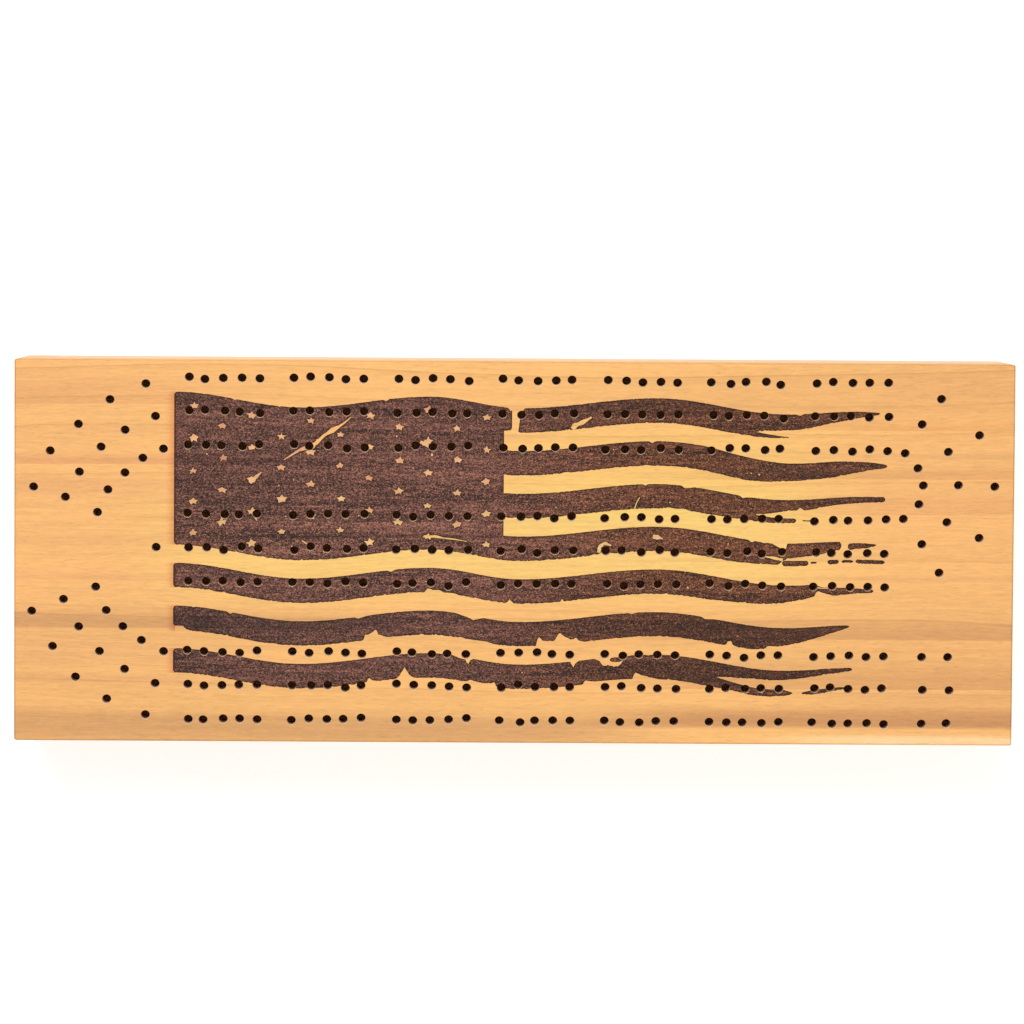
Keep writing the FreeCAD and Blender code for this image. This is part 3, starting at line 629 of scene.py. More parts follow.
@dataclass(frozen=True)
class EngravedWood(BoardWood):
    """Laser-engraved wood: the plank's own grain under a matt brown char, with the raster of the beam, and
    blackened char with painted shade where its walls close in.
    """

    char: str = "#633e34"
    char_right: str = "#5a3320"
    # the colour of the blackened char along the walls and of the painted shade in the corners under them
    edge: str = "#3d2015"
    char_turn: Span = (-30.0, 60.0)
    unevenness: Point = (7.4, 3.4, 2.8)
    grain_power: float = 2.2
    darkest: float = 0.16
    missed: Ramp = (0.61, 0.77, 0.0, 0.52)
    missed_tint: Point = (0.80, 0.75, 0.88)
    # how far the painted shade looks for walls, and how it darkens from open to closed in
    soot_and_shade_reach: float = 1.3
    soot_and_shade_ramp: Ramp = (0.66, 0.97, 0.9, 0.0)

    def made(self) -> Material:
        """Builds the material.

        Returns:
            The finished material.
        """
        s = Shader(self.name)
        drawn = self.figure(s)
        # the beam's lines are 0.2 mm apart, drawn as grains of 0.4 mm so that they show
        raster = s.spots(drawn.place, (1.9, 2.6, 2.6), 1.0, 0.9)
        grit = s.spots(drawn.bent, (0.10, 1.1, 1.1), 3.0, 0.75)
        cloud = s.spots(drawn.bent, (0.012, 0.22, 0.22), 4.0, 0.7)
        uneven = s.shaded((raster, grit, cloud), self.unevenness)
        # late wood chars darker than early wood
        pale = s.add("Math", s.add("RGBToBW", drawn.colour), self.paleness, operation="DIVIDE")
        grain = s.add("Math", pale, self.grain_power, operation="POWER")
        shade = s.add("Math", uneven, grain, operation="MULTIPLY")
        along = s.add("SeparateXYZ", drawn.place, out="X")
        side = s.add("MapRange", along, *self.char_turn, interpolation_type="SMOOTHSTEP")
        chars = {6: linear(self.char), 7: linear(self.char_right)}
        char = s.add("Mix", side, named=chars, out=2, data_type="RGBA")
        shade = s.add("Math", shade, self.darkest, operation="MAXIMUM")
        colour = s.add("VectorMath", char, named={"Scale": shade}, operation="SCALE")
        # grains of resin that the beam missed
        missed = s.add("MapRange", raster, *self.missed)
        pinkish = s.add("VectorMath", drawn.colour, self.missed_tint, operation="MULTIPLY")
        colour = s.add("Mix", missed, named={6: colour, 7: pinkish}, out=2, data_type="RGBA")
        # the char along the walls is blackened, and painted shade darkens the corners under them, where
        # ambient occlusion finds the walls close
        reach = {"Distance": self.soot_and_shade_reach * MM}
        shelter = s.add("AmbientOcclusion", named=reach, out="AO", samples=8, only_local=True)
        soot_and_shade = s.add("MapRange", shelter, *self.soot_and_shade_ramp)
        colour = s.add("Mix", soot_and_shade, named={6: colour, 7: linear(self.edge)}, out=2, data_type="RGBA")
        return self.surface(s, colour, raster, relief=0.55)


@dataclass(frozen=True)
class DrilledWood(BoardWood):
    """The walls of drilled holes: pale torn fibres and a painted highlight at the mouth where it faces up,
    then bare wood, lighter further down.
    """

    # the pale of torn fibres, with a painted highlight, where the mouth faces up
    torn_fibres_and_highlight: str = "#ffe9cc"
    wall: str = "#b98d66"
    deep: str = "#cc9c6c"
    rim_height: float = 58.25
    rim_depth: Span = (0.85, 1.2)
    mouth_lean: Span = (0.2, 0.06)
    deep_at: float = 5.0

    def made(self) -> Material:
        """Builds the material.

        Returns:
            The finished material.
        """
        s = Shader(self.name)
        drawn = self.figure(s)
        height = s.add("SeparateXYZ", drawn.place, out="Z")
        top = self.rim_height + self.shift[2]
        # pale torn fibres with a painted highlight: only where the bit leaned on the mouth, so where the wall
        # faces up a little, towards the lamps
        facing = s.add("SeparateXYZ", s.add("NewGeometry", out="True Normal"), out="Z")
        near, far = (top - depth for depth in self.rim_depth)
        leaning = s.add("MapRange", facing, *self.mouth_lean)
        bare_share = s.add("Math", s.add("MapRange", height, near, far), leaning, operation="MAXIMUM")
        down = s.add("MapRange", height, far, top - self.deep_at, interpolation_type="SMOOTHSTEP")
        bare = s.add("Mix", down, named={6: linear(self.wall), 7: linear(self.deep)}, out=2, data_type="RGBA")
        colour = s.add("Mix", bare_share, named={6: linear(self.torn_fibres_and_highlight), 7: bare}, out=2, data_type="RGBA")
        return self.surface(s, colour, drawn.height, relief=0.3)


@dataclass(frozen=True)
class Plywood(SolidWood):
    """Birch plywood: a pale rotary-cut face with long soft figure, and its plies in turn at the edges."""

    plies: int = 3
    bottom: float = 0.0
    thickness: float = 3.2
    side_lean: Span = (0.9, 0.5)
    cross_tint: Point = (0.72, 0.62, 0.50)

    def made(self) -> Material:
        """Builds the material.

        Returns:
            The finished material.
        """
        s = Shader(self.name)
        drawn = self.figure(s)
        height = s.add("SeparateXYZ", s.add("TexCoord", out="Object"), out="Z")
        top = self.bottom + self.thickness
        level = s.add("MapRange", height, self.bottom * MM, top * MM, 0.0, float(self.plies))
        odd = s.add("Math", s.add("Math", level, operation="FLOOR"), 2.0, operation="MODULO")
        upright = s.add("SeparateXYZ", s.add("NewGeometry", out="True Normal"), out="Z")
        side = s.add("MapRange", s.add("Math", upright, operation="ABSOLUTE"), *self.side_lean)
        inner = s.add("Math", odd, side, operation="MULTIPLY")
        colour = s.tinted(drawn.colour, self.cross_tint, inner)
        return self.surface(s, colour, drawn.height, relief=0.15)


@dataclass(frozen=True)
class TurnedMetal:
    """Metal turned on a lathe: fine rings round the part break up its gloss."""

    name: str
    colour: str
    roughness: float
    stain: float = 0.10
    axis: Point = CROSSWISE
    scratch: float = 0.25
    mark_depth: float = 0.02
    tarnish: float = 0.62
    gloss: Span = (0.75, 1.35)

    def made(self) -> Material:
        """Builds the material.

        Returns:
            The finished material.
        """
        s = Shader(self.name)
        place = s.add("VectorMath", s.add("TexCoord", out="Object"), (1 / MM,) * 3, operation="MULTIPLY")
        # tool marks 0.1 mm apart on the real part, drawn at 0.25 mm
        marks = s.spots(place, tuple(4.0 if a else 0.25 for a in self.axis), 3.0, 0.7)
        cloud = s.add("TexNoise", named={"Vector": place, "Scale": 0.35, "Detail": 3.0})
        both = s.add("Math", marks, cloud, operation="ADD")
        rough = s.add("MapRange", both, 0.7, 1.3, *(self.roughness * share for share in self.gloss))
        stained = s.add("MapRange", cloud, 0.35, 0.75, 0.0, self.stain)
        base = linear(self.colour)
        dull = tuple(c * self.tarnish for c in base[:3]) + (1.0,)
        colour = s.add("Mix", stained, named={6: base, 7: dull}, out=2, data_type="RGBA")
        cuts = {"Strength": self.scratch, "Distance": self.mark_depth * MM, "Height": marks}
        bump = s.add("Bump", named=cuts)
        look = {"Base Color": colour, "Metallic": 1.0, "Roughness": rough, "Normal": bump}
        return s.finish(s.add("BsdfPrincipled", named=look))


@dataclass(frozen=True)
class MouldedRubber:
    """Moulded black rubber: matt, faintly grained, with pale dust in patches."""

    name: str = "moulded_rubber"
    colour: str = "#1b1a19"
    dust: str = "#5a554e"
    roughness: float = 0.78
    grain_depth: float = 0.05

    def made(self) -> Material:
        """Builds the material.

        Returns:
            The finished material.
        """
        s = Shader(self.name)
        place = s.add("VectorMath", s.add("TexCoord", out="Object"), (1 / MM,) * 3, operation="MULTIPLY")
        grain = s.add("TexNoise", named={"Vector": place, "Scale": 3.0, "Detail": 4.0, "Roughness": 0.7})
        cloud = s.add("TexNoise", named={"Vector": place, "Scale": 0.5, "Detail": 3.0})
        dusty = s.add("MapRange", cloud, 0.45, 0.75, 0.0, 0.30)
        tones = {6: linear(self.colour), 7: linear(self.dust)}
        colour = s.add("Mix", dusty, named=tones, out=2, data_type="RGBA")
        bump = s.add("Bump", named={"Strength": 0.35, "Distance": self.grain_depth * MM, "Height": grain})
        look = {"Base Color": colour, "Roughness": self.roughness, "Normal": bump}
        return s.finish(s.add("BsdfPrincipled", named=look))


# ------------------------------------------------------------------ the playing board


class Ribbon(NamedTuple):
    """A strip of the flag: (x, drop of its upper edge below its stripe's line, thickness), left to right."""

    stripe: int
    knots: tuple[tuple[float, float, float], ...]
    tattered: bool = True


class Tatter(NamedTuple):
    """A ragged place in an edge of a stripe: how deep it goes at each x, from left to right."""

    stripe: int
    upper: bool
    knots: tuple[tuple[float, float], ...]


class Speck(NamedTuple):
    """A small shape that stands in the engraving, as an outline round from its right-hand tip.

    The outline gives each corner's reach as a share of the radius, and `squat` is the height for the width.
    """

    name: str
    outline: tuple[float, ...]
    radius: float
    squat: float


@dataclass
class WavingFlag:
    """The worn stars-and-stripes that is engraved in the board, in millimetres from the board's middle."""

    left: float = -124.4
    canton_right: float = -4.0
    first_top: float = 54.9
    pitch: float = 15.65
    thickness: float = 9.1
    crests: tuple[tuple[float, float], ...] = (
        (-124.4, 3.3), (-78.0, -2.2), (-31.0, 2.0), (2.0, -2.0), (52.0, 1.9), (99.0, -3.7),
        (128.0, -2.2), (150.0, -2.2),
    )
    ribbons: tuple[Ribbon, ...] = (
        Ribbon(0, ((-6, 0, 9.1), (-1.1, 0, 8.4))),
        Ribbon(0, ((1.2, 0, 9.1), (80, 0, 9.1), (92, 0, 6.4), (105, 0, 5.7), (117, 0.1, 4.0),
            (125, 0.3, 2.6), (133.3, 0.7, 0.8))),
        Ribbon(0, ((68, 4.0, 5.1), (80, 6.2, 2.9), (90, 7.3, 1.7), (100, 8.2, 0.5)), tattered=False),
        Ribbon(1, ((-6, 0, 9.1), (70, 0, 9.1), (85, 1.2, 8.6), (100, 2.3, 6.6), (117, 2.5, 5.9),
            (125, 2.9, 4.2), (131, 3.3, 2.7), (136.1, 4.1, 1.2))),
        Ribbon(2, ((-6, 0, 9.1), (72, 0, 9.1), (86, 0, 6.6), (100, 0, 4.0), (106, 0, 4.2), (117, 0.1, 2.8),
            (135.5, 0.2, 2.0))),
        Ribbon(2, ((66, 3.5, 5.6), (85, 5.9, 2.8), (94, 6.5, 2.2), (103, 6.8, 1.7)), tattered=False),
        Ribbon(2, ((105.3, 7.5, 0.5), (108.4, 7.7, 0.6)), tattered=False),
        Ribbon(3, ((-6, 0, 9.1), (80, 0, 9.1), (86, 0, 8.6), (96.4, 0.6, 7.6), (99.9, 0.3, 5.6),
            (106, 0.3, 5.2), (112, 0.4, 4.5), (119.6, 0.7, 3.0))),
        Ribbon(3, ((122, 1.4, 2.6), (128, 1.5, 2.1), (132.4, 1.9, 0.8))),
        Ribbon(3, ((98, 6.6, 2.1), (107.6, 6.8, 2.0)), tattered=False),
        Ribbon(3, ((108.4, 7.2, 1.0), (110.7, 7.4, 0.8)), tattered=False),
        Ribbon(3, ((114.6, 7.0, 1.9), (118.7, 7.2, 1.6)), tattered=False),
        Ribbon(3, ((119.8, 7.4, 1.3), (124.0, 7.6, 1.1)), tattered=False),
        Ribbon(3, ((124.9, 7.4, 1.7), (135.5, 7.8, 1.5)), tattered=False),
        Ribbon(4, ((-124.6, 0, 9.1), (70, 0, 9.1), (79, 0, 8.3), (96, 0, 6.9), (110, 0.1, 4.7),
            (112.5, 1.2, 3.1), (118, 1.8, 3.0), (131.5, 2.9, 1.2))),
        Ribbon(5, ((-124.6, 0, 9.1), (80, 0, 9.0), (88, 0, 8.7), (96, 0, 7.2), (104.5, 0, 5.6),
            (113, 0, 3.7), (119.7, 0.1, 1.9), (122.8, 0.3, 0.7))),
        Ribbon(6, ((-124.6, 0, 9.1), (60, 0, 9.1), (70, 0, 6.4), (79, 0, 4.7), (87.4, 0, 4.0), (96, 0, 3.7),
            (103.5, 0, 3.2), (113, 0, 2.4), (124, 0.2, 1.3))),
        Ribbon(6, ((58, 3.0, 6.1), (70, 4.9, 4.6), (79, 6.1, 3.3), (87.4, 7.0, 3.0), (94, 7.0, 2.8),
            (98.8, 7.0, 2.4), (102.2, 8.0, 0.9)), tattered=False),
        Ribbon(6, ((105.6, 8.1, 0.8), (109, 7.6, 1.6), (114, 7.3, 1.7), (119, 7.1, 1.2),
            (124, 7.2, 0.5)), tattered=False),
        Ribbon(6, ((35.2, 0.4, 1.3), (37.0, 0.2, 2.0), (39.0, 0.3, 1.8), (40.6, 0.7, 0.9)), tattered=False),
    )
    tatters: tuple[Tatter, ...] = (
        Tatter(0, True, ((-48.2, 0), (-47.0, 0.9), (-46.2, 0.2))),
        Tatter(0, True, ((-2.8, 0), (-1.9, 0.8), (-1.1, 2.4))),
        Tatter(0, True, ((1.2, 8.0), (1.7, 4.4), (2.4, 2.0), (3.4, 0))),
        Tatter(0, True, ((102.4, 0), (104.2, 0.7), (105.4, 0))),
        Tatter(1, True, ((49.0, 0), (50.1, 0.9), (50.7, 0.3), (52.0, 0))),
        Tatter(1, False, ((46.2, 0), (48.0, 0.5), (50.4, 0))),
        Tatter(1, False, ((17.0, 0), (17.6, 0.4), (19.4, 0.5), (20.4, 0))),
        Tatter(2, True, ((46.6, 0), (47.7, 0.7), (48.8, 0))),
        Tatter(2, True, ((61.0, 0), (62.0, 1.0), (64.0, 0.6), (66.0, 0))),
        Tatter(2, True, ((82.2, 0), (83.2, 0.8), (85.0, 0.3), (88.0, 0))),
        Tatter(2, False, ((20.2, 0), (20.9, 1.3), (21.6, 0))),
        Tatter(2, False, ((54.5, 0), (56.0, 0.7), (59.0, 0.3), (62.0, 0.7), (64.5, 0))),
        Tatter(2, False, ((102.9, 0), (104.4, 1.2), (106.2, 0))),
        Tatter(3, True, ((85.6, 0), (86.8, 0.9), (88.0, 0))),
        Tatter(3, True, ((94.2, 0), (96.0, 0.8), (97.8, 1.8), (98.5, 3.2), (99.3, 2.6), (99.8, 0))),
        Tatter(3, False, ((27.6, 0), (29.0, 0.6), (30.4, 0.2), (32.0, 0.9), (35.0, 0.4), (37.0, 0))),
        Tatter(4, True, ((-46.8, 0), (-44.9, 0.8), (-43.4, 0))),
        Tatter(4, False, ((-32.8, 0), (-31.6, 1.7), (-29.6, 1.0), (-27.2, 1.1), (-25.6, 0.3), (-22.0, 0.5),
            (-20.0, 0))),
        Tatter(4, False, ((-3.2, 0), (-2.0, 1.0), (-1.5, 1.7), (-0.9, 0.7), (0.4, 0))),
        Tatter(4, False, ((17.0, 0), (17.6, 1.2), (18.2, 0))),
        Tatter(4, False, ((108.2, 0), (110.0, 0.5), (110.8, 2.4), (112.0, 1.4), (114.8, 0.4), (116.0, 0))),
        Tatter(5, True, ((-104.9, 0), (-103.9, 0.8), (-102.6, 0))),
        Tatter(5, True, ((-58.6, 0), (-56.9, 0.8), (-54.6, 0.2), (-51.0, 0))),
        Tatter(5, True, ((-22.0, 0), (-17.0, 0.9), (-14.8, 1.6), (-12.6, 0.6), (-11.0, 0))),
        Tatter(5, True, ((41.6, 0), (43.2, 0.6), (45.0, 0))),
        Tatter(5, True, ((68.4, 0), (70.0, 0.7), (73.0, 0.2), (76.0, 0))),
        Tatter(5, False, ((-124.7, 1.6), (-121.0, 1.8), (-120.0, 0.7), (-118.0, 0))),
        Tatter(5, False, ((-55.0, 0), (-54.7, 2.1), (-52.2, 2.3), (-51.6, 3.0), (-50.4, 4.0), (-49.6, 1.6),
            (-48.2, 1.0), (-46.5, 0.2), (-40.0, 0))),
        Tatter(5, False, ((-20.6, 0), (-19.4, 0.6), (-17.5, 0.1), (-10.0, 0.6), (-7.0, 0))),
        Tatter(5, False, ((8.2, 0), (8.7, 2.6), (9.5, 3.8), (10.2, 2.2), (11.6, 1.7), (15.0, 1.6),
            (15.8, 3.4), (16.9, 4.2), (18.8, 2.9), (20.6, 1.6), (21.6, 1.3), (22.7, 2.2), (23.6, 0.8),
            (26.0, 0))),
        Tatter(5, False, ((77.6, 0), (78.2, 1.8), (79.6, 2.4), (80.2, 0.7), (83.0, 0))),
        Tatter(5, False, ((92.0, 0), (93.0, 1.0), (95.4, 0.5), (98.0, 0))),
        Tatter(6, True, ((-22.6, 0), (-19.8, 0.7), (-17.4, 1.0), (-16.8, 3.3), (-16.0, 0.9), (-14.6, 0))),
        Tatter(6, True, ((20.8, 0), (21.8, 2.5), (22.6, 0.9), (24.0, 0))),
        Tatter(6, True, ((29.6, 0), (31.6, 1.2), (32.6, 3.2), (34.8, 3.0), (37.2, 3.8), (39.0, 3.5),
            (40.2, 1.4), (41.6, 0.3), (43.0, 0))),
        Tatter(6, False, ((-53.9, 0), (-53.0, 1.9), (-51.6, 0.7), (-49.0, 0))),
        Tatter(6, False, ((-43.2, 0), (-41.6, 1.4), (-40.6, 3.2), (-39.9, 4.8), (-39.2, 3.0), (-38.0, 1.2),
            (-36.4, 0))),
        Tatter(6, False, ((-17.6, 0), (-16.0, 1.1), (-12.0, 0.8), (-9.0, 1.2), (-6.7, 1.8), (-6.2, 0))),
        Tatter(6, False, ((25.4, 0), (26.0, 1.5), (30.0, 0.7), (36.0, 0.6), (43.8, 0.4), (44.3, 2.9),
            (46.0, 2.1), (50.0, 0.8), (53.5, 0))),
        Tatter(6, False, ((86.0, 0), (88.0, 0.4), (90.0, 0))),
    )
    tears: tuple[tuple[tuple[float, float, float], ...], ...] = (
        ((-84.4, 33.4, 0.3), (-81.5, 35.3, 0.6), (-78.6, 37.1, 0.8), (-76.4, 37.9, 1.7), (-74.6, 38.3, 2.2),
            (-72.4, 39.8, 1.2), (-69.8, 42.4, 0.9), (-66.6, 44.4, 1.6), (-64.2, 45.8, 0.8),
            (-62.2, 47.2, 0.6), (-59.8, 49.3, 0.3)),
        ((-96.8, 25.0, 1.3), (-95.4, 26.3, 1.7), (-93.9, 27.7, 0.9), (-92.4, 29.0, 0.3)),
        ((-96.4, 14.5, 0.4), (-95.4, 13.0, 0.7), (-94.0, 11.2, 0.4)),
        ((-77.6, 3.9, 0.4), (-76.0, 2.9, 0.7), (-74.4, 1.6, 0.9)),
        ((-34.6, 40.4, 0.9), (-33.4, 39.8, 1.6), (-31.2, 38.6, 1.0)),
        ((-33.5, 5.6, 0.4), (-29.0, 5.8, 1.1), (-26.0, 5.2, 0.5), (-22.0, 4.8, 0.35), (-17.4, 4.0, 0.25)),
        ((20.9, 45.4, 2.2), (22.0, 46.7, 1.7), (24.6, 47.8, 1.4), (27.9, 49.7, 0.7)),
        ((43.9, 16.4, 0.5), (44.6, 18.6, 0.45), (45.7, 20.6, 0.3)),
        ((50.6, 6.2, 1.5), (52.2, 6.0, 1.5), (54.3, 5.4, 0.4)),
        ((30.9, 0.2, 1.3), (31.2, 2.4, 1.2), (33.0, 3.7, 1.0), (35.4, 2.8, 0.6)),
        ((91.8, -0.9, 0.5), (94.4, -1.3, 1.0), (98.2, -2.1, 1.1)),
        ((-32.6, -10.5, 0.35), (-30.4, -12.1, 0.6)),
        ((109.6, -12.0, 0.7), (112.8, -12.4, 0.5), (116.0, -12.3, 0.3)),
    )
    stripe_count: int = 7
    canton_pitches: int = 3
    # small nibbles in the edges: how many to a stripe, how far right the last may be, how far each one starts
    # to the left of its deepest place, how deep that is, its end as a share of that way to the right, and how
    # many of them are on upper edges
    nibbles: int = 9
    nibble_right: float = 120.0
    nibble_wide: Span = (0.5, 1.4)
    nibble_deep: Span = (0.2, 0.6)
    nibble_end: float = 0.6
    nibble_upper: float = 0.25
    # how uneven the edges are, and how fully a tatter is cut
    upper_fray: float = 0.06
    lower_fray: float = 0.15
    bite: Span = (0.88, 1.05)
    # strips: the length of a step, the rounding of their ends and the least that is left of them
    step: float = 0.6
    end_round: float = 1.1
    round_share: float = 0.35
    round_depth: float = 0.85
    tip: float = 0.1
    thinnest: float = 0.3
    tear_steps: int = 3
    tear_width: Span = (0.7, 1.25)
    star: Speck = Speck("flag_star", (1.0, 0.56, 1.0, 0.56, 1.0, 0.58, 0.88, 0.42, 0.88, 0.58), 1.98, 0.78)
    star_columns: int = 11
    star_rows: tuple[int, int] = (5, 4)
    star_pitch: float = 10.72
    star_first: float = -117.4
    star_drop: float = 5.1
    star_row: float = 11.6
    star_stray: float = 0.2
    star_tilt: float = 5.0
    star_sizes: Span = (0.84, 1.08)
    chip: Speck = Speck("flag_chip", (1.0, 0.7, 0.9, 0.8, 1.0, 0.6), 0.7, 0.8)
    chips: int = 22
    chip_inset: float = 3.0
    chip_span: Span = (0.0, 95.0)
    chip_drop: Span = (1.5, 7.5)
    chip_sizes: Span = (0.45, 1.0)
    first_tip: float = 18.0
    crumble: float = 0.07
    clearance: float = 0.2
    seed: int = 11

    def __post_init__(self) -> None:
        """Scatters small nibbles along the edges, most of them on the lower ones."""
        hand = random.Random(self.seed)
        spans = ((self.left, self.nibble_right), self.nibble_wide, self.nibble_deep)
        for stripe in range(self.stripe_count):
            for _ in range(self.nibbles):
                x, wide, deep = (hand.uniform(*span) for span in spans)
                upper = hand.random() < self.nibble_upper
                knots = ((x - wide, 0), (x, deep), (x + wide * self.nibble_end, 0))
                self.tatters += (Tatter(stripe, upper, knots),)

    def wave(self, x: float) -> float:
        """Works out how far the cloth's waves lift the flag.

        Args:
            x: where along the board.

        Returns:
            The lift in millimetres.
        """
        for (a, low), (b, high) in zip(self.crests, self.crests[1:]):
            if x <= b:
                t = min(1.0, max(0.0, (x - a) / (b - a)))
                return low + (high - low) * (1 - math.cos(math.pi * t)) / 2
        return self.crests[-1][1]

    def line(self, stripe: int, x: float) -> float:
        """The upper edge of a stripe, counted from 0 at the back."""
        return self.first_top - self.pitch * stripe + self.wave(x)

    def worn(self, ribbon: Ribbon, x: float, upper: bool, rough: random.Random) -> float:
        """Works out how far wear has eaten into an edge.

        Args:
            ribbon: the strip.
            x: where along the board.
            upper: whether it is the upper edge.
            rough: the source of the small unevenness.

        Returns:
            The depth of the wear.
        """
        depth = abs(rough.gauss(0, self.upper_fray if upper else self.lower_fray))
        for tatter in self.tatters if ribbon.tattered else ():
            first, last = tatter.knots[0][0], tatter.knots[-1][0]
            if tatter.stripe == ribbon.stripe and tatter.upper is upper and first <= x <= last:
                depth = max(depth, self.between(tatter.knots, x)[0] * rough.uniform(*self.bite))
        return depth

    def strip(self, ribbon: Ribbon, rough: random.Random, low: float, high: float) -> Piece:
        """Models one strip as a block that stands from low to high.

        Args:
            ribbon: the strip's outline.
            rough: the source of its worn edges.
            low: the height of its underside.
            high: the height of its top.

        Returns:
            The block.
        """
        start, end = ribbon.knots[0][0], ribbon.knots[-1][0]
        count = max(2, round((end - start) / self.step))
        edges = []
        for number in range(count + 1):
            x = start + (end - start) * number / count
            drop, thick = self.between(ribbon.knots, x)
            top = self.line(ribbon.stripe, x) - drop
            upper = top - self.worn(ribbon, x, True, rough)
            lower = top - thick + self.worn(ribbon, x, False, rough)
            if upper - lower < self.thinnest:
                middle = (upper + lower) / 2
                upper, lower = middle + self.thinnest / 2, middle - self.thinnest / 2
            bend = min(self.end_round, thick * self.round_share)
            short = min(bend, max(0.0, bend - min(x - start, end - x)))
            corner = self.round_depth * (bend - math.sqrt(bend * bend - short * short))
            corner = min(corner, (upper - lower) / 2 - self.tip)
            upper, lower = upper - corner, lower + corner
            edges.append(((x * MM, lower * MM, low * MM), (x * MM, upper * MM, low * MM)))
        return Bench.raised(Bench.band("flag_strip", edges), low, high)

    @staticmethod
    def between(knots: Sequence[tuple[float, ...]], x: float) -> tuple[float, ...]:
        """Finds the values at x, straight between the knots that give them.

        Args:
            knots: each an x with its values, from left to right.
            x: where along the board.

        Returns:
            The values there.
        """
        for (a, *first), (b, *second) in zip(knots, knots[1:]):
            if x <= b:
                return tuple(one + (two - one) * (x - a) / (b - a) for one, two in zip(first, second))
        return knots[-1][1:]

    def star_places(self, rough: random.Random) -> Places:
        """Finds where the fifty stars stand, in columns of five and four by turns, each a little askew.

        Args:
            rough: the source of the unevenness.

        Returns:
            Each star's place, its turn and its size.
        """
        for column in range(self.star_columns):
            x = self.star_first + column * self.star_pitch
            odd = column % 2
            for row in range(self.star_rows[odd]):
                drop = self.star_drop + (row + 0.5 * odd) * self.star_row
                y = self.line(0, x) - drop
                right, up = x + rough.gauss(0, self.star_stray), y + rough.gauss(0, self.star_stray)
                turn, size = rough.gauss(0, self.star_tilt), rough.uniform(*self.star_sizes)
                yield Vector((right, up, 0)) * MM, turn, size

    def chip_places(self, rough: random.Random) -> Places:
        """Finds where small chips have come off the char, every other one of them in the canton.

        Args:
            rough: the source of the places.

        Returns:
            Each chip's place, its turn and its size.
        """
        inset, field = self.chip_inset, self.canton_pitches * self.pitch
        for number in range(self.chips):
            if number % 2:
                x = rough.uniform(self.left + inset, self.canton_right - inset)
                depth = rough.uniform(inset, field + 2 * inset)
            else:
                x = rough.uniform(*self.chip_span)
                depth = self.pitch * rough.randrange(self.stripe_count) + rough.uniform(*self.chip_drop)
            place = Vector((x, self.line(0, x) - depth, 0)) * MM
            yield place, rough.uniform(0, 360), rough.uniform(*self.chip_sizes)

    def blocks(self, speck: Speck, places: Places, rough: random.Random, low: float, high: float) -> Piece:
        """Models small stars or chips as blocks from low to high, worn unevenly.

        Args:
            speck: the shape that is repeated.
            places: where the blocks stand, their turns and their sizes.
            rough: the source of the wear.
            low: the height of their underside.
            high: the height of their top.

        Returns:
            The blocks as one object.
        """
        corners = len(speck.outline)
        shape = Bench.disc(speck.name, corners, speck.radius)
        for vertex in shape.data.vertices:
            turn = math.atan2(vertex.co.y, vertex.co.x) - math.radians(self.first_tip)
            reach = speck.outline[round(turn / (math.tau / corners)) % corners]
            vertex.co = Vector((vertex.co.x * reach, vertex.co.y * reach * speck.squat, low * MM))
        made = Bench.copies(Bench.raised(shape, low, high), places)
        moved: dict[tuple[int, int], Vector] = {}
        for vertex in made.data.vertices:
            key = (round(vertex.co.x * MICRONS), round(vertex.co.y * MICRONS))
            if key not in moved:
                wear = Vector((rough.gauss(0, self.crumble), rough.gauss(0, self.crumble), 0))
                moved[key] = wear * speck.radius * MM
            vertex.co += moved[key]
        return made

    def tear(self, path: Sequence[Point], rough: random.Random, low: float, high: float) -> Piece:
        """Models a torn line as a block from low to high.

        Args:
            path: the points that it runs through, each with its width there.
            rough: the source of its ragged sides.
            low: the height of its underside.
            high: the height of its top.

        Returns:
            The block.
        """
        edges = []
        for number in range(self.tear_steps * (len(path) - 1) + 1):
            step = min(number // self.tear_steps, len(path) - 2)
            part = number / self.tear_steps - step
            (x0, y0, w0), (x1, y1, w1) = path[step], path[step + 1]
            width = (w0 + (w1 - w0) * part) * rough.uniform(*self.tear_width)
            along = Vector((x1 - x0, y1 - y0, 0)).normalized()
            side = Vector((-along.y, along.x, 0)) * width / 2
            middle = Vector((x0 + (x1 - x0) * part, y0 + (y1 - y0) * part, low))
            edges.append(((middle - side) * MM, (middle + side) * MM))
        return Bench.raised(Bench.band("flag_tear", edges), low, high)

    def cutter(self, low: float, high: float) -> Piece:
        """Models the whole engraving as one block to cut with.

        Args:
            low: the height of the engraving's floor.
            high: a height clear of the board's face.

        Returns:
            The block, with the stars, the chips and the tears already out of it.
        """
        rough = random.Random(self.seed)
        field = self.canton_pitches * self.pitch + self.thickness
        canton = Ribbon(0, ((self.left, 0, field), (self.canton_right, 0, field)))
        whole = self.strip(canton, rough, low, high)
        whole.name = whole.data.name = "flag_cutter"
        self.combined(whole, [self.strip(ribbon, rough, low, high) for ribbon in self.ribbons], Cut.JOIN)
        base, top = low - self.clearance, high + self.clearance
        stars = self.blocks(self.star, self.star_places(rough), rough, base, top)
        chips = self.blocks(self.chip, self.chip_places(rough), rough, base, top)
        tears = [self.tear(path, rough, base, top) for path in self.tears]
        self.combined(whole, [stars, chips, *tears], Cut.TAKE_OUT)
        return whole

    @staticmethod
    def combined(whole: Piece, parts: Sequence[Piece], how: Cut) -> None:
        """Joins parts to a block or cuts them out of it, and clears them away.

        Args:
            whole: the block that is changed.
            parts: the parts, which are used up.
            how: what is done with them.
        """
        group = bpy.data.collections.new("flag_parts")
        for part in parts:
            group.objects.link(part)
        way = {"operation": how.value, "solver": "MANIFOLD"}
        Bench.apply(whole, "BOOLEAN", **way, operand_type="COLLECTION", collection=group)
        for part in parts:
            bpy.data.objects.remove(part)
        bpy.data.collections.remove(group)


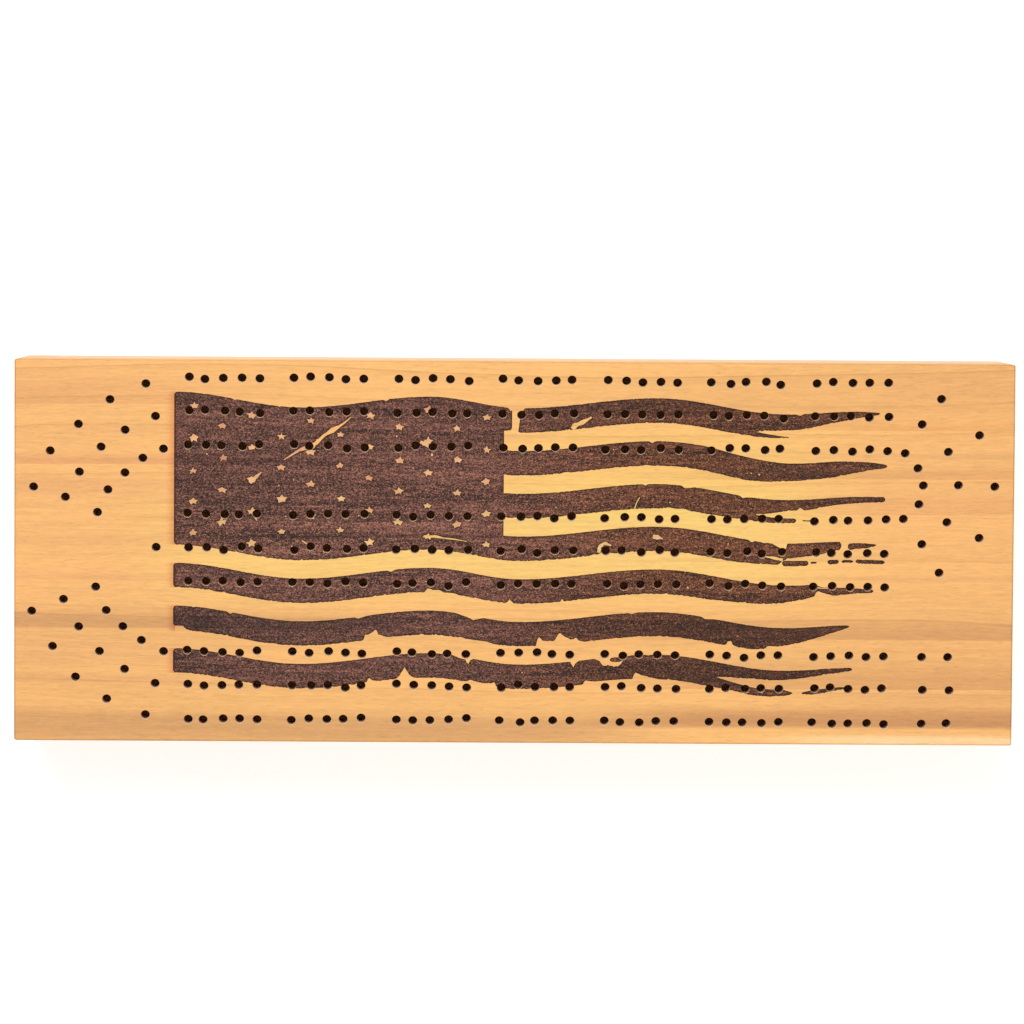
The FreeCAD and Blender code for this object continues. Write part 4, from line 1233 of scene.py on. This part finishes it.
@dataclass
class PlayingBoard:
    """The thick plank with the peg holes, the dowel sockets under it and the engraved flag."""

    engraving_depth: float = 0.35
    engraving_rise: float = 0.6
    hole_radius: float = 1.5875
    hole_depth: float = 11.1
    hole_sides: int = 24
    lip_depth: float = 0.8
    lip_lean: float = 0.2
    lip_flare: float = 1.07
    drill_rise: float = 0.1
    # the dowel sockets: their least depth, how far below the holes they end, how far outside the bit starts
    socket_sides: int = 32
    socket_least: float = 2.0
    socket_gap: float = 0.05
    socket_drop: float = 0.5
    edge: float = 0.8
    edge_segments: int = 4
    squares: tuple[int, int] = (26, 10)
    # an island of the face in the engraving is smaller than this
    island: float = 9.0
    # how far off a height, a side or the top still counts as on it, and the steps to a millimetre that tell
    # corners apart
    level_slack: float = 0.02
    side_slack: float = 0.01
    top_slack: float = 0.1
    snaps: float = 500.0
    smooth_angle: float = 35.0

    def corners(self) -> tuple[Vector, Vector]:
        """The plank's lowest and highest corners in millimetres."""
        low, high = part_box("playing_board")
        return low / MM, high / MM

    def level_patches(self, mesh: bpy.types.Mesh, height: float) -> list[list[Face]]:
        """Finds the separate patches of a mesh that lie level at a height.

        Args:
            mesh: the mesh, in metres.
            height: the height in millimetres.

        Returns:
            The faces of each patch.
        """
        head: dict[tuple[int, int], tuple[int, int]] = {}

        def root(key: tuple[int, int]) -> tuple[int, int]:
            """Finds the corner that stands for a whole patch.

            Args:
                key: a corner of the patch.

            Returns:
                The corner that stands for it.
            """
            while head[key] != key:
                key = head[key]
            return key

        level = []
        for face in mesh.polygons:
            points = [mesh.vertices[i].co / MM for i in face.vertices]
            if all(abs(p.z - height) < self.level_slack for p in points):
                keys = [(round(p.x * self.snaps), round(p.y * self.snaps)) for p in points]
                for key in keys:
                    head.setdefault(key, key)
                for key in keys[1:]:
                    head[root(key)] = root(keys[0])
                level.append((face, keys[0]))
        patches: dict[tuple[int, int], list[Face]] = {}
        for face, key in level:
            patches.setdefault(root(key), []).append(face)
        return list(patches.values())

    @staticmethod
    def reach(mesh: bpy.types.Mesh, patch: Sequence[Face]) -> tuple[Vector, Vector]:
        """The lowest and highest corner of a patch, in millimetres."""
        points = [mesh.vertices[i].co / MM for face in patch for i in face.vertices]
        return Vector(map(min, zip(*points))), Vector(map(max, zip(*points)))

    def rounds(self, mesh: bpy.types.Mesh, height: float) -> list[tuple[Vector, float]]:
        """Finds the flat round floors of a board at a height.

        Args:
            mesh: the board's mesh.
            height: the height in millimetres.

        Returns:
            The middle and the radius of each round, in millimetres.
        """
        corners = [self.reach(mesh, patch) for patch in self.level_patches(mesh, height)]
        found = [((low + high) / 2, (high.x - low.x) / 2) for low, high in corners]
        return sorted(found, key=lambda r: (r[0].x, r[0].y))

    def plank(self, wood: Material) -> Piece:
        """Models the plain plank with its top and its corners eased, its faces in squares that cut cleanly.

        Args:
            wood: the plank's finish.

        Returns:
            The plank.
        """
        low, high = self.corners()
        size, middle = high - low, (low + high) / 2
        place = Vector((middle.x, middle.y, low.z)) * MM
        across, deep = self.squares
        Bench.fresh()
        bpy.ops.mesh.primitive_grid_add(x_subdivisions=across, y_subdivisions=deep, size=1, location=place)
        plank = Bench.added("board_plank")
        plank.scale = (size.x * MM, size.y * MM, 1)
        bpy.ops.object.transform_apply(location=True, rotation=True, scale=True)
        Bench.raised(plank, low.z, high.z, merge=False)
        Bench.deselected(plank)

        def eased(edge: bpy.types.MeshEdge) -> bool:
            """Tells whether an edge is on the top's outline or at an upright corner.

            Args:
                edge: the edge.

            Returns:
                True where it is.
            """
            a, b = (plank.data.vertices[i].co / MM for i in edge.vertices)
            off = [abs(abs(a[k] - middle[k]) - size[k] / 2) for k in (0, 1)]
            sides = [off[k] < self.side_slack and abs(a[k] - b[k]) < self.side_slack for k in (0, 1)]
            return all(sides) or (any(sides) and min(a.z, b.z) > high.z - self.top_slack)

        for edge in plank.data.edges:
            edge.select = eased(edge)
        bpy.ops.object.mode_set(mode="EDIT")
        bpy.ops.mesh.select_mode(type="EDGE")
        bpy.ops.mesh.bevel(offset=self.edge * MM, segments=self.edge_segments, profile=0.5, affect="EDGES")
        Bench.done()
        plank.data.materials.append(wood)
        return plank

    def drills(self, wall: Material) -> Piece:
        """Models every peg hole as a block to cut with, slightly flared where the bit went in.

        Args:
            wall: the finish of the holes' walls.

        Returns:
            The blocks as one object.
        """
        floor = self.corners()[1].z - self.hole_depth
        drill = Bench.disc("peg_drill", self.hole_sides, self.hole_radius)
        Bench.opened(drill)
        Bench.extrude(0, 0, self.hole_depth - self.lip_depth)
        # the bit leaned a little as it went in, so its mouth is worn on the front side only
        Bench.extrude(0, -self.lip_lean, self.lip_depth + self.drill_rise)
        bpy.ops.transform.resize(value=(self.lip_flare, self.lip_flare, 1.0))
        Bench.closed()
        drill.data.materials.append(wall)
        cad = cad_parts["playing_board"].data
        places = [(Vector((m.x, m.y, floor)) * MM, 0.0, 1.0) for m, _ in self.rounds(cad, floor)]
        LOG.info("%d peg holes", len(places))
        return Bench.copies(drill, places)

    def sockets(self, wall: Material) -> Piece:
        """Models the dowel sockets under the plank as blocks to cut with.

        Args:
            wall: the finish of the sockets' walls.

        Returns:
            The blocks as one object.
        """
        low, high = self.corners()
        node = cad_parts["playing_board"].data
        levels = sorted({round(v.co.z / MM, 2) for v in node.vertices})
        least, most = low.z + self.socket_least, high.z - self.hole_depth - self.socket_gap
        top = next(z for z in levels if least < z < most)
        places = self.rounds(node, top)
        start = low.z - self.socket_drop
        bit = Bench.raised(Bench.disc("dowel_bit", self.socket_sides, places[0][1]), start, top)
        bit.data.materials.append(wall)
        LOG.info("%d dowel sockets", len(places))
        return Bench.copies(bit, [(Vector((m.x, m.y, start)) * MM, 0.0, 1.0) for m, _ in places])

    def build(self, wood: BoardWood) -> Piece:
        """Models the board and puts it in the place of the CAD one.

        Args:
            wood: the plank's own wood.

        Returns:
            The finished board.
        """
        alike = ("early", "late", "shift", "pith", "ring", "streaks", "contrast")
        shared = {name: getattr(wood, name) for name in alike}
        plain = wood.made()
        engraved = EngravedWood("engraved_softwood", roughness=0.85, **shared).made()
        drilled = DrilledWood("drilled_softwood", roughness=0.7, **shared).made()
        toasted = ToastedWood("toasted_softwood", **shared).made()
        board = self.plank(plain)
        top = self.corners()[1].z
        flag = WavingFlag().cutter(top - self.engraving_depth, top + self.engraving_rise)
        flag.data.materials.clear()
        flag.data.materials.append(engraved)
        way = {"operation": Cut.TAKE_OUT.value, "solver": "MANIFOLD", "material_mode": "TRANSFER"}
        for cutter in (flag, self.drills(drilled), self.sockets(plain)):
            Bench.apply(board, "BOOLEAN", **way, object=cutter)
            bpy.data.objects.remove(cutter)
        left = len(self.rounds(board.data, top - self.hole_depth))
        LOG.info("%d peg holes in the finished board", left)
        board.data.materials.append(toasted)
        for patch in self.level_patches(board.data, top):
            low, high = self.reach(board.data, patch)
            if max((high - low).xy) < self.island:
                for face in patch:
                    face.material_index = len(board.data.materials) - 1
        self.smooth(board)
        board.name = board.data.name = "engraved_playing_board"
        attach(board, "case")
        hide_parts("playing_board")
        return board

    def smooth(self, piece: Piece) -> None:
        """Shades round walls smooth and keeps flat faces flat.

        Args:
            piece: the piece that is changed.
        """
        Bench.opened(piece)
        bpy.ops.mesh.quads_convert_to_tris(quad_method="BEAUTY", ngon_method="BEAUTY")
        Bench.done()
        bpy.ops.object.shade_smooth_by_angle(angle=math.radians(self.smooth_angle))
        Bench.apply(piece, "WEIGHTED_NORMAL", mode="FACE_AREA", keep_sharp=True, weight=100)


# ------------------------------------------------------------------ the case and the drawer


@dataclass
class Dresser:
    """Gives the CAD nodes of one body their finishes."""

    finishes: dict[str, object]

    def dress(self) -> None:
        """Puts each finish on its nodes, one material for each finish."""
        for name, finish in self.finishes.items():
            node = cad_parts[name]
            node.data.materials.clear()
            node.data.materials.append(finish.made() if not isinstance(finish, Material) else finish)
            LOG.info("%s: %s", name, node.data.materials[0].name)


@dataclass
class Case:
    """The box under the board: two rails, the closed end, the bottom, runners, feet and hardware."""

    bottom_height: float = 5.7
    bottom_thickness: float = 4.0
    bottom_plies: int = 5

    def build(self) -> None:
        """Dresses the case's nodes."""
        brass = TurnedMetal("polished_brass", BRASS, 0.24, axis=UPRIGHT).made()
        zinc = TurnedMetal("zinc_plated_steel", ZINC, 0.32, axis=UPRIGHT).made()
        rubber = MouldedRubber().made()
        plies = {"bottom": self.bottom_height, "thickness": self.bottom_thickness, "plies": self.bottom_plies}
        Dresser({
            "case_rail_front": SolidWood(
                "softwood_front_rail", **SOFTWOOD, pith=(-120, -160), shift=(60, 30, 210), ring=4.1
            ),
            "case_rail_back": SolidWood(
                "softwood_back_rail", **SOFTWOOD, pith=(90, -170), shift=(310, -20, 120), ring=3.6
            ),
            "case_end": SolidWood(
                "softwood_case_end", **SOFTWOOD, grain=Grain.ALONG_Y,
                pith=(-60, -150), shift=(-40, 12, 70), ring=3.9,
            ),
            "bottom_panel": Plywood("birch_plywood_bottom", **BIRCH, ring=14.0, pith=(10, -420), **plies),
            "runner_front": SolidWood("maple_front_runner", **MAPLE, ring=1.8, shift=(20, 5, 3)),
            "runner_back": SolidWood("maple_back_runner", **MAPLE, ring=1.8, shift=(170, 44, 3)),
            "board_dowels": SolidWood("maple_dowel", **MAPLE, ring=1.6, streaks=0.12),
            "stop_screw_front": brass,
            "stop_screw_back": brass,
            "case_magnets": TurnedMetal("nickel_plated_magnet", NICKEL, 0.16, axis=LENGTHWISE),
            "foot_screws": zinc,
            **{f"foot_{side}_{end}": rubber for side in ("front", "back") for end in ("left", "right")},
        }).dress()


@dataclass
class Drawer:
    """The drawer: its front, sides, back, floor, dividers, the peg tray and nine pegs."""

    early: str = "#e8cfa2"
    late: str = "#b99a6b"
    floor_height: float = 13.8
    floor_thickness: float = 3.2
    floor_plies: int = 3

    def build(self) -> None:
        """Dresses the drawer's nodes."""
        poplar = {"early": self.early, "late": self.late, "contrast": 0.4, "roughness": 0.6}
        across = {**poplar, "grain": Grain.ALONG_Y}
        pegs = {
            "brass": TurnedMetal("turned_brass_peg", BRASS, 0.20).made(),
            "steel": TurnedMetal("turned_steel_peg", "#c3c5c7", 0.18).made(),
            "black": TurnedMetal("blackened_steel_peg", "#26272a", 0.30, stain=0.3).made(),
        }
        plies = {"bottom": self.floor_height, "thickness": self.floor_thickness, "plies": self.floor_plies}
        Dresser({
            "drawer_front": SolidWood(
                "softwood_drawer_front", **SOFTWOOD, grain=Grain.ALONG_Y,
                pith=(-80, -140), shift=(30, -60, 40), ring=3.7,
            ),
            "drawer_side_front": SolidWood("poplar_front_side", **poplar, shift=(11, 80, 20)),
            "drawer_side_back": SolidWood("poplar_back_side", **poplar, shift=(140, -50, 66)),
            "drawer_back": SolidWood("poplar_drawer_back", **across, shift=(17, 9, 33)),
            "divider_front": SolidWood("poplar_front_divider", **across, shift=(71, 29, 13)),
            "divider_middle": SolidWood("poplar_middle_divider", **across, shift=(27, 55, 93)),
            "peg_tray": SolidWood("poplar_peg_tray", **across, shift=(97, 15, 43), ring=4.4),
            "drawer_floor": Plywood("birch_plywood_floor", **BIRCH, ring=12.0, pith=(-30, -380), **plies),
            "drawer_magnets": TurnedMetal("nickel_plated_drawer_magnet", NICKEL, 0.16, axis=LENGTHWISE),
            "drawer_brads": TurnedMetal("zinc_plated_brad", ZINC, 0.32),
            **{f"peg_{metal}_{n}": finish for metal, finish in pegs.items() for n in (1, 2, 3)},
        }).dress()


# ------------------------------------------------------------------ the studio


@dataclass
class Studio:
    """A plain pale floor, soft light from above and the camera.

    The camera's place is in millimetres and its turn in degrees, and everything else is in metres and watts.
    """

    lens: float = 175.0
    sensor: float = 36.0
    camera_place: Point = (-15.7, 111.9, 1874.7)
    camera_turn: Point = (-3.06, -0.446, 0.370)
    camera_reach: Span = (0.1, 30.0)
    floor_size: float = 12.0
    paper: str = "#f0efed"
    floor_glow: float = 0.52
    sky: float = 0.495
    key_place: Point = (-0.35, 1.1, 2.0)
    key_size: float = 0.9
    key_power: float = 25.7
    fill_place: Point = (0.9, -1.3, 1.7)
    fill_size: float = 1.6
    fill_power: float = 6.6

    def build(self) -> None:
        """Makes the floor, the lights and the camera."""
        self.floor()
        self.light("key_softbox", self.key_place, self.key_size, self.key_power)
        self.light("fill_softbox", self.fill_place, self.fill_size, self.fill_power)
        world = bpy.data.worlds.new("studio_sky")
        world.use_nodes = True
        sky = world.node_tree.nodes["Background"].inputs
        sky["Color"].default_value = (1, 1, 1, 1)
        sky["Strength"].default_value = self.sky
        bpy.context.scene.world = world
        data = bpy.data.cameras.new("camera")
        data.sensor_width, data.lens = self.sensor, self.lens
        data.clip_start, data.clip_end = self.camera_reach
        camera = bpy.data.objects.new("camera", data)
        camera.location = Vector(self.camera_place) * MM
        camera.rotation_euler = [math.radians(a) for a in self.camera_turn]
        bpy.context.scene.collection.objects.link(camera)
        bpy.context.scene.camera = camera
        bpy.context.scene.view_settings.view_transform = "Standard"

    def floor(self) -> None:
        """Lays the pale floor, which is shown as white paper and keeps the soft shadow."""
        Bench.fresh()
        bpy.ops.mesh.primitive_plane_add(size=self.floor_size)
        floor = Bench.added("floor")
        s = Shader("white_paper")
        rays = [s.add("LightPath", out=f"Is {kind} Ray") for kind in ("Camera", "Glossy", "Transmission")]
        mirrored = s.add("Math", rays[0], rays[1], operation="MAXIMUM")
        seen = s.add("Math", mirrored, rays[2], operation="MAXIMUM")
        lift = s.add("Math", seen, self.floor_glow, operation="MULTIPLY")
        paper = s.add("BsdfDiffuse", linear(self.paper))
        glow = s.add("Emission", (1, 1, 1, 1), lift)
        floor.data.materials.append(s.finish(s.add("AddShader", paper, glow)))

    @staticmethod
    def light(name: str, place: Point, size: float, power: float) -> None:
        """Hangs a square soft light that looks at the object.

        Args:
            name: the lamp's name.
            place: where it hangs, in metres.
            size: its side in metres.
            power: its power in watts.
        """
        data = bpy.data.lights.new(name, "AREA")
        data.shape, data.size, data.energy = "SQUARE", size, power
        lamp = bpy.data.objects.new(name, data)
        lamp.location = place
        lamp.rotation_euler = (-Vector(place)).to_track_quat("-Z", "Y").to_euler()
        bpy.context.scene.collection.objects.link(lamp)


def main() -> None:
    """Builds the studio, the board, the case and the drawer."""
    logging.basicConfig(level=logging.INFO, format="%(message)s")
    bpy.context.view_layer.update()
    Studio().build()
    honey = {"early": "#fcbd70", "late": "#b5773f", "contrast": 0.42, "streaks": 0.22}
    board = PlayingBoard().build(BoardWood("planed_honey_softwood", ring=4.6, **honey))
    LOG.info("%s: %d faces", board.name, len(board.data.polygons))
    Case().build()
    Drawer().build()


if __name__ == "__main__":
    main()
